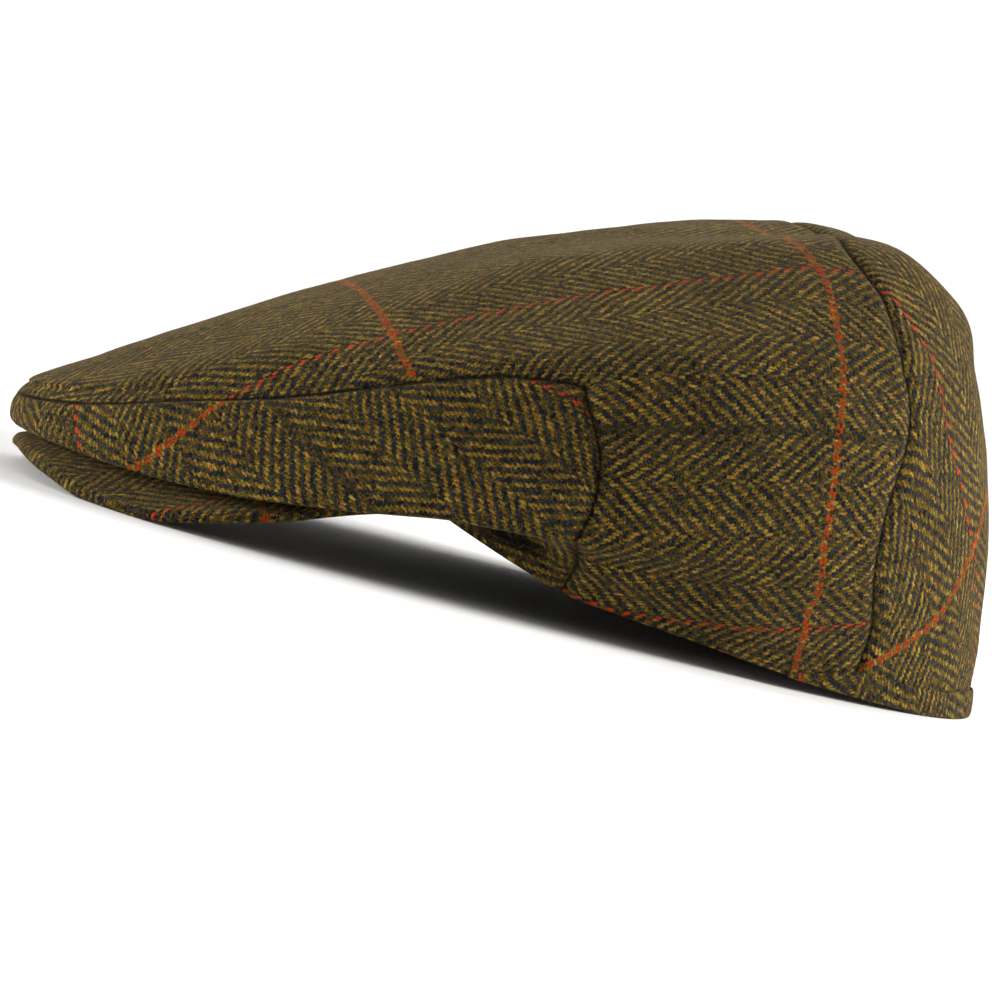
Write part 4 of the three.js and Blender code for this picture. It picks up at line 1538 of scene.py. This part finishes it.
def fibre_graph():
    graph = Graph("loose_wool")
    density = graph.input("Density", "NodeSocketFloat", FIBRES_FOR_EACH_M2)
    length = graph.input("Length", "NodeSocketFloat", FIBRE_LENGTH)
    width = graph.input("Width", "NodeSocketFloat", FIBRE_WIDTH)
    lift = graph.input("Lift", "NodeSocketFloat", FIBRE_LIFT)
    seed = graph.input("Seed", "NodeSocketInt", 1)
    wool = graph.input("Wool", "NodeSocketMaterial")
    surface = Wire(graph, graph.into.outputs["Geometry"])
    outside = graph.node("GeometryNodeInputNamedAttribute", {"data_type": "FLOAT"},
                         {"Name": "outside"}) > 0.9
    scatter = graph.tree.nodes.new("GeometryNodeDistributePointsOnFaces")
    for name, wire in (("Mesh", surface), ("Selection", outside), ("Density", density),
                       ("Seed", seed)):
        graph.join(wire, scatter.inputs[name])
    ribbon = graph.node("GeometryNodeMeshGrid", None, {
        "Size X": length, "Size Y": width, "Vertices X": 4, "Vertices Y": 2}, "Mesh")
    place = graph.node("GeometryNodeInputPosition")
    along, across = graph.parts(place)
    share = along / length
    bent = graph.node("ShaderNodeCombineXYZ", None, {
        "X": along, "Y": across + share * share * length * FIBRE_BEND,
        "Z": lift * (share + FIBRE_START)})
    ribbon = graph.node("GeometryNodeSetPosition", None, {"Geometry": ribbon, "Position": bent})
    upright = graph.node("FunctionNodeAlignRotationToVector", {"axis": "Z"},
                         {"Vector": Wire(graph, scatter.outputs["Normal"])})
    turn = graph.random((0.0, 2 * math.pi), TURN_SEED)
    spin = graph.node("FunctionNodeAxisAngleToRotation", None,
                      {"Axis": (0, 0, 1), "Angle": turn})
    turned_up = graph.node("FunctionNodeRotateRotation", {"rotation_space": "LOCAL"},
                           {"Rotation": upright, "Rotate By": spin})
    size = graph.random(FIBRE_SIZES, SIZE_SEED)
    hairs = graph.node("GeometryNodeInstanceOnPoints", None, {
        "Points": Wire(graph, scatter.outputs["Points"]), "Instance": ribbon,
        "Rotation": turned_up, "Scale": size})
    hairs = graph.node("GeometryNodeRealizeInstances", None, {"Geometry": hairs})
    hairs = graph.node("GeometryNodeSetMaterial", None, {"Geometry": hairs, "Material": wool})
    graph.join(hairs, graph.end.inputs["Geometry"])
    return graph.tree


LOOSE_WOOL = fibre_graph()
print("nodes in the tree of the loose wool:", len(LOOSE_WOOL.nodes))

# %% Colour of the loose fibres
FLUFF_SCALE = 700.0
WOOL_FLUFF, fluff_tree, fluff_shader = blank_material(
    "loose_wool", {"Roughness": 0.8, "Specular IOR Level": 0.2})
place = fluff_tree.node("ShaderNodeTexCoord", None, None, "Object")
fluff_tree.join(fluff_tree.ramp(fluff_tree.noise(place, FLUFF_SCALE, 2.0),
                                [(0.34, MOSS), (0.48, OLIVE), (0.58, GOLD), (0.72, LINT)]),
                fluff_shader.inputs["Base Color"])


# %% Scatter over each panel
def scatter_wool(panel, number):
    """Fibres on one panel, as a plain mesh."""
    fibres = put_in_scene(f"wool_on_{panel.name}", panel.data)
    nodes = fibres.modifiers.new("loose_wool", "NODES")
    nodes.node_group = LOOSE_WOOL
    names = {item.name: item.identifier for item in LOOSE_WOOL.interface.items_tree
             if item.in_out == "INPUT"}
    nodes[names["Seed"]] = number
    nodes[names["Wool"]] = WOOL_FLUFF
    graph = bpy.context.evaluated_depsgraph_get()
    plain = bpy.data.meshes.new_from_object(fibres.evaluated_get(graph))
    fibres.modifiers.remove(nodes)
    fibres.data = plain
    plain.shade_smooth()
    print(fibres.name, len(plain.polygons), "faces")
    return fibres


cloth_pieces = [top_panel, *front_panels, *back_panels, hem, visor]
wool = [scatter_wool(panel, number) for number, panel in enumerate(cloth_pieces, 1)]

# %% [markdown]
# ## Floor
#
# The cap rests on a sheet of pale paper that curves up behind it, as in a product studio. It is
# a strip of faces along a profile, flat under the cap, round at the corner and upright behind,
# and it is not attached to the cap.

# %% Pale sweep
PAPER_FRONT, PAPER_CORNER, CORNER_RADIUS, PAPER_TOP, PAPER_HALF_WIDTH = 2.5, 1.2, 0.8, 3.5, 4.0
CORNER_STEPS = 12


def sweep():
    profile = [(PAPER_FRONT, 0.0)]
    for turn in np.linspace(0, math.pi / 2, CORNER_STEPS):
        profile.append((-PAPER_CORNER - CORNER_RADIUS * math.sin(turn),
                        CORNER_RADIUS * (1 - math.cos(turn))))
    profile.append((-PAPER_CORNER - CORNER_RADIUS, PAPER_TOP))
    verts = [(out, across, up) for out, up in profile for across in (-PAPER_HALF_WIDTH, PAPER_HALF_WIDTH)]
    faces = [(2 * i, 2 * i + 2, 2 * i + 3, 2 * i + 1) for i in range(len(profile) - 1)]
    mesh = bpy.data.meshes.new("floor")
    mesh.from_pydata(verts, [], faces)
    mesh.shade_smooth()
    paper, _, _ = blank_material("paper", {"Base Color": (0.9, 0.9, 0.9, 1), "Roughness": 0.9})
    mesh.materials.append(paper)
    return put_in_scene("floor", mesh)


floor = sweep()
print("floor:", len(floor.data.polygons), "faces")

# %% [markdown]
# ## Put the pieces on the solids
#
# The cap is one body. Each cloth piece rides on it and takes the place of the plain solid that it
# was shaped after. The loose wool rides along with it.

# %% Ride and replace
PIECES = [(top_panel, "crown_top_panel", "crown_cloth"),
          (front_panels[0], "front_side_panel_left", "crown_cloth"),
          (front_panels[1], "front_side_panel_right", "crown_cloth"),
          (back_panels[0], "back_panel_left", "crown_cloth"),
          (back_panels[1], "back_panel_right", "crown_cloth"),
          (hem, "rear_band", "band_cloth"),
          (visor, "visor", "visor_cloth")]
body = list(frame["bodies"])[0]
for piece, node, slot in PIECES:
    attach(piece, body)
    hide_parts(node)
for fibres, (_, _, slot) in zip(wool, PIECES):
    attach(fibres, body)
print("pieces:", [piece.name for piece, _, _ in PIECES])

# %% [markdown]
# ## The cut of each panel
#
# The crown panels are cut flat, sewn to their neighbours and steamed over a block until they keep
# their shape, so each one is a sheet held by its seams. The flat layout gives the size of its
# cut: the rectangle it comes out of, and the area inside its outline. The visor isn't a sheet,
# because its cloth is glued to a stiff board.

# %% Flat sizes of the panels
front_cut_size = flat_cut(front_cloth, front_fine.cells)
back_cut_size = flat_cut(back_cloth, back_fine.cells)
print("front side panel, flat", front_cut_size)
print("back panel, flat", back_cut_size)
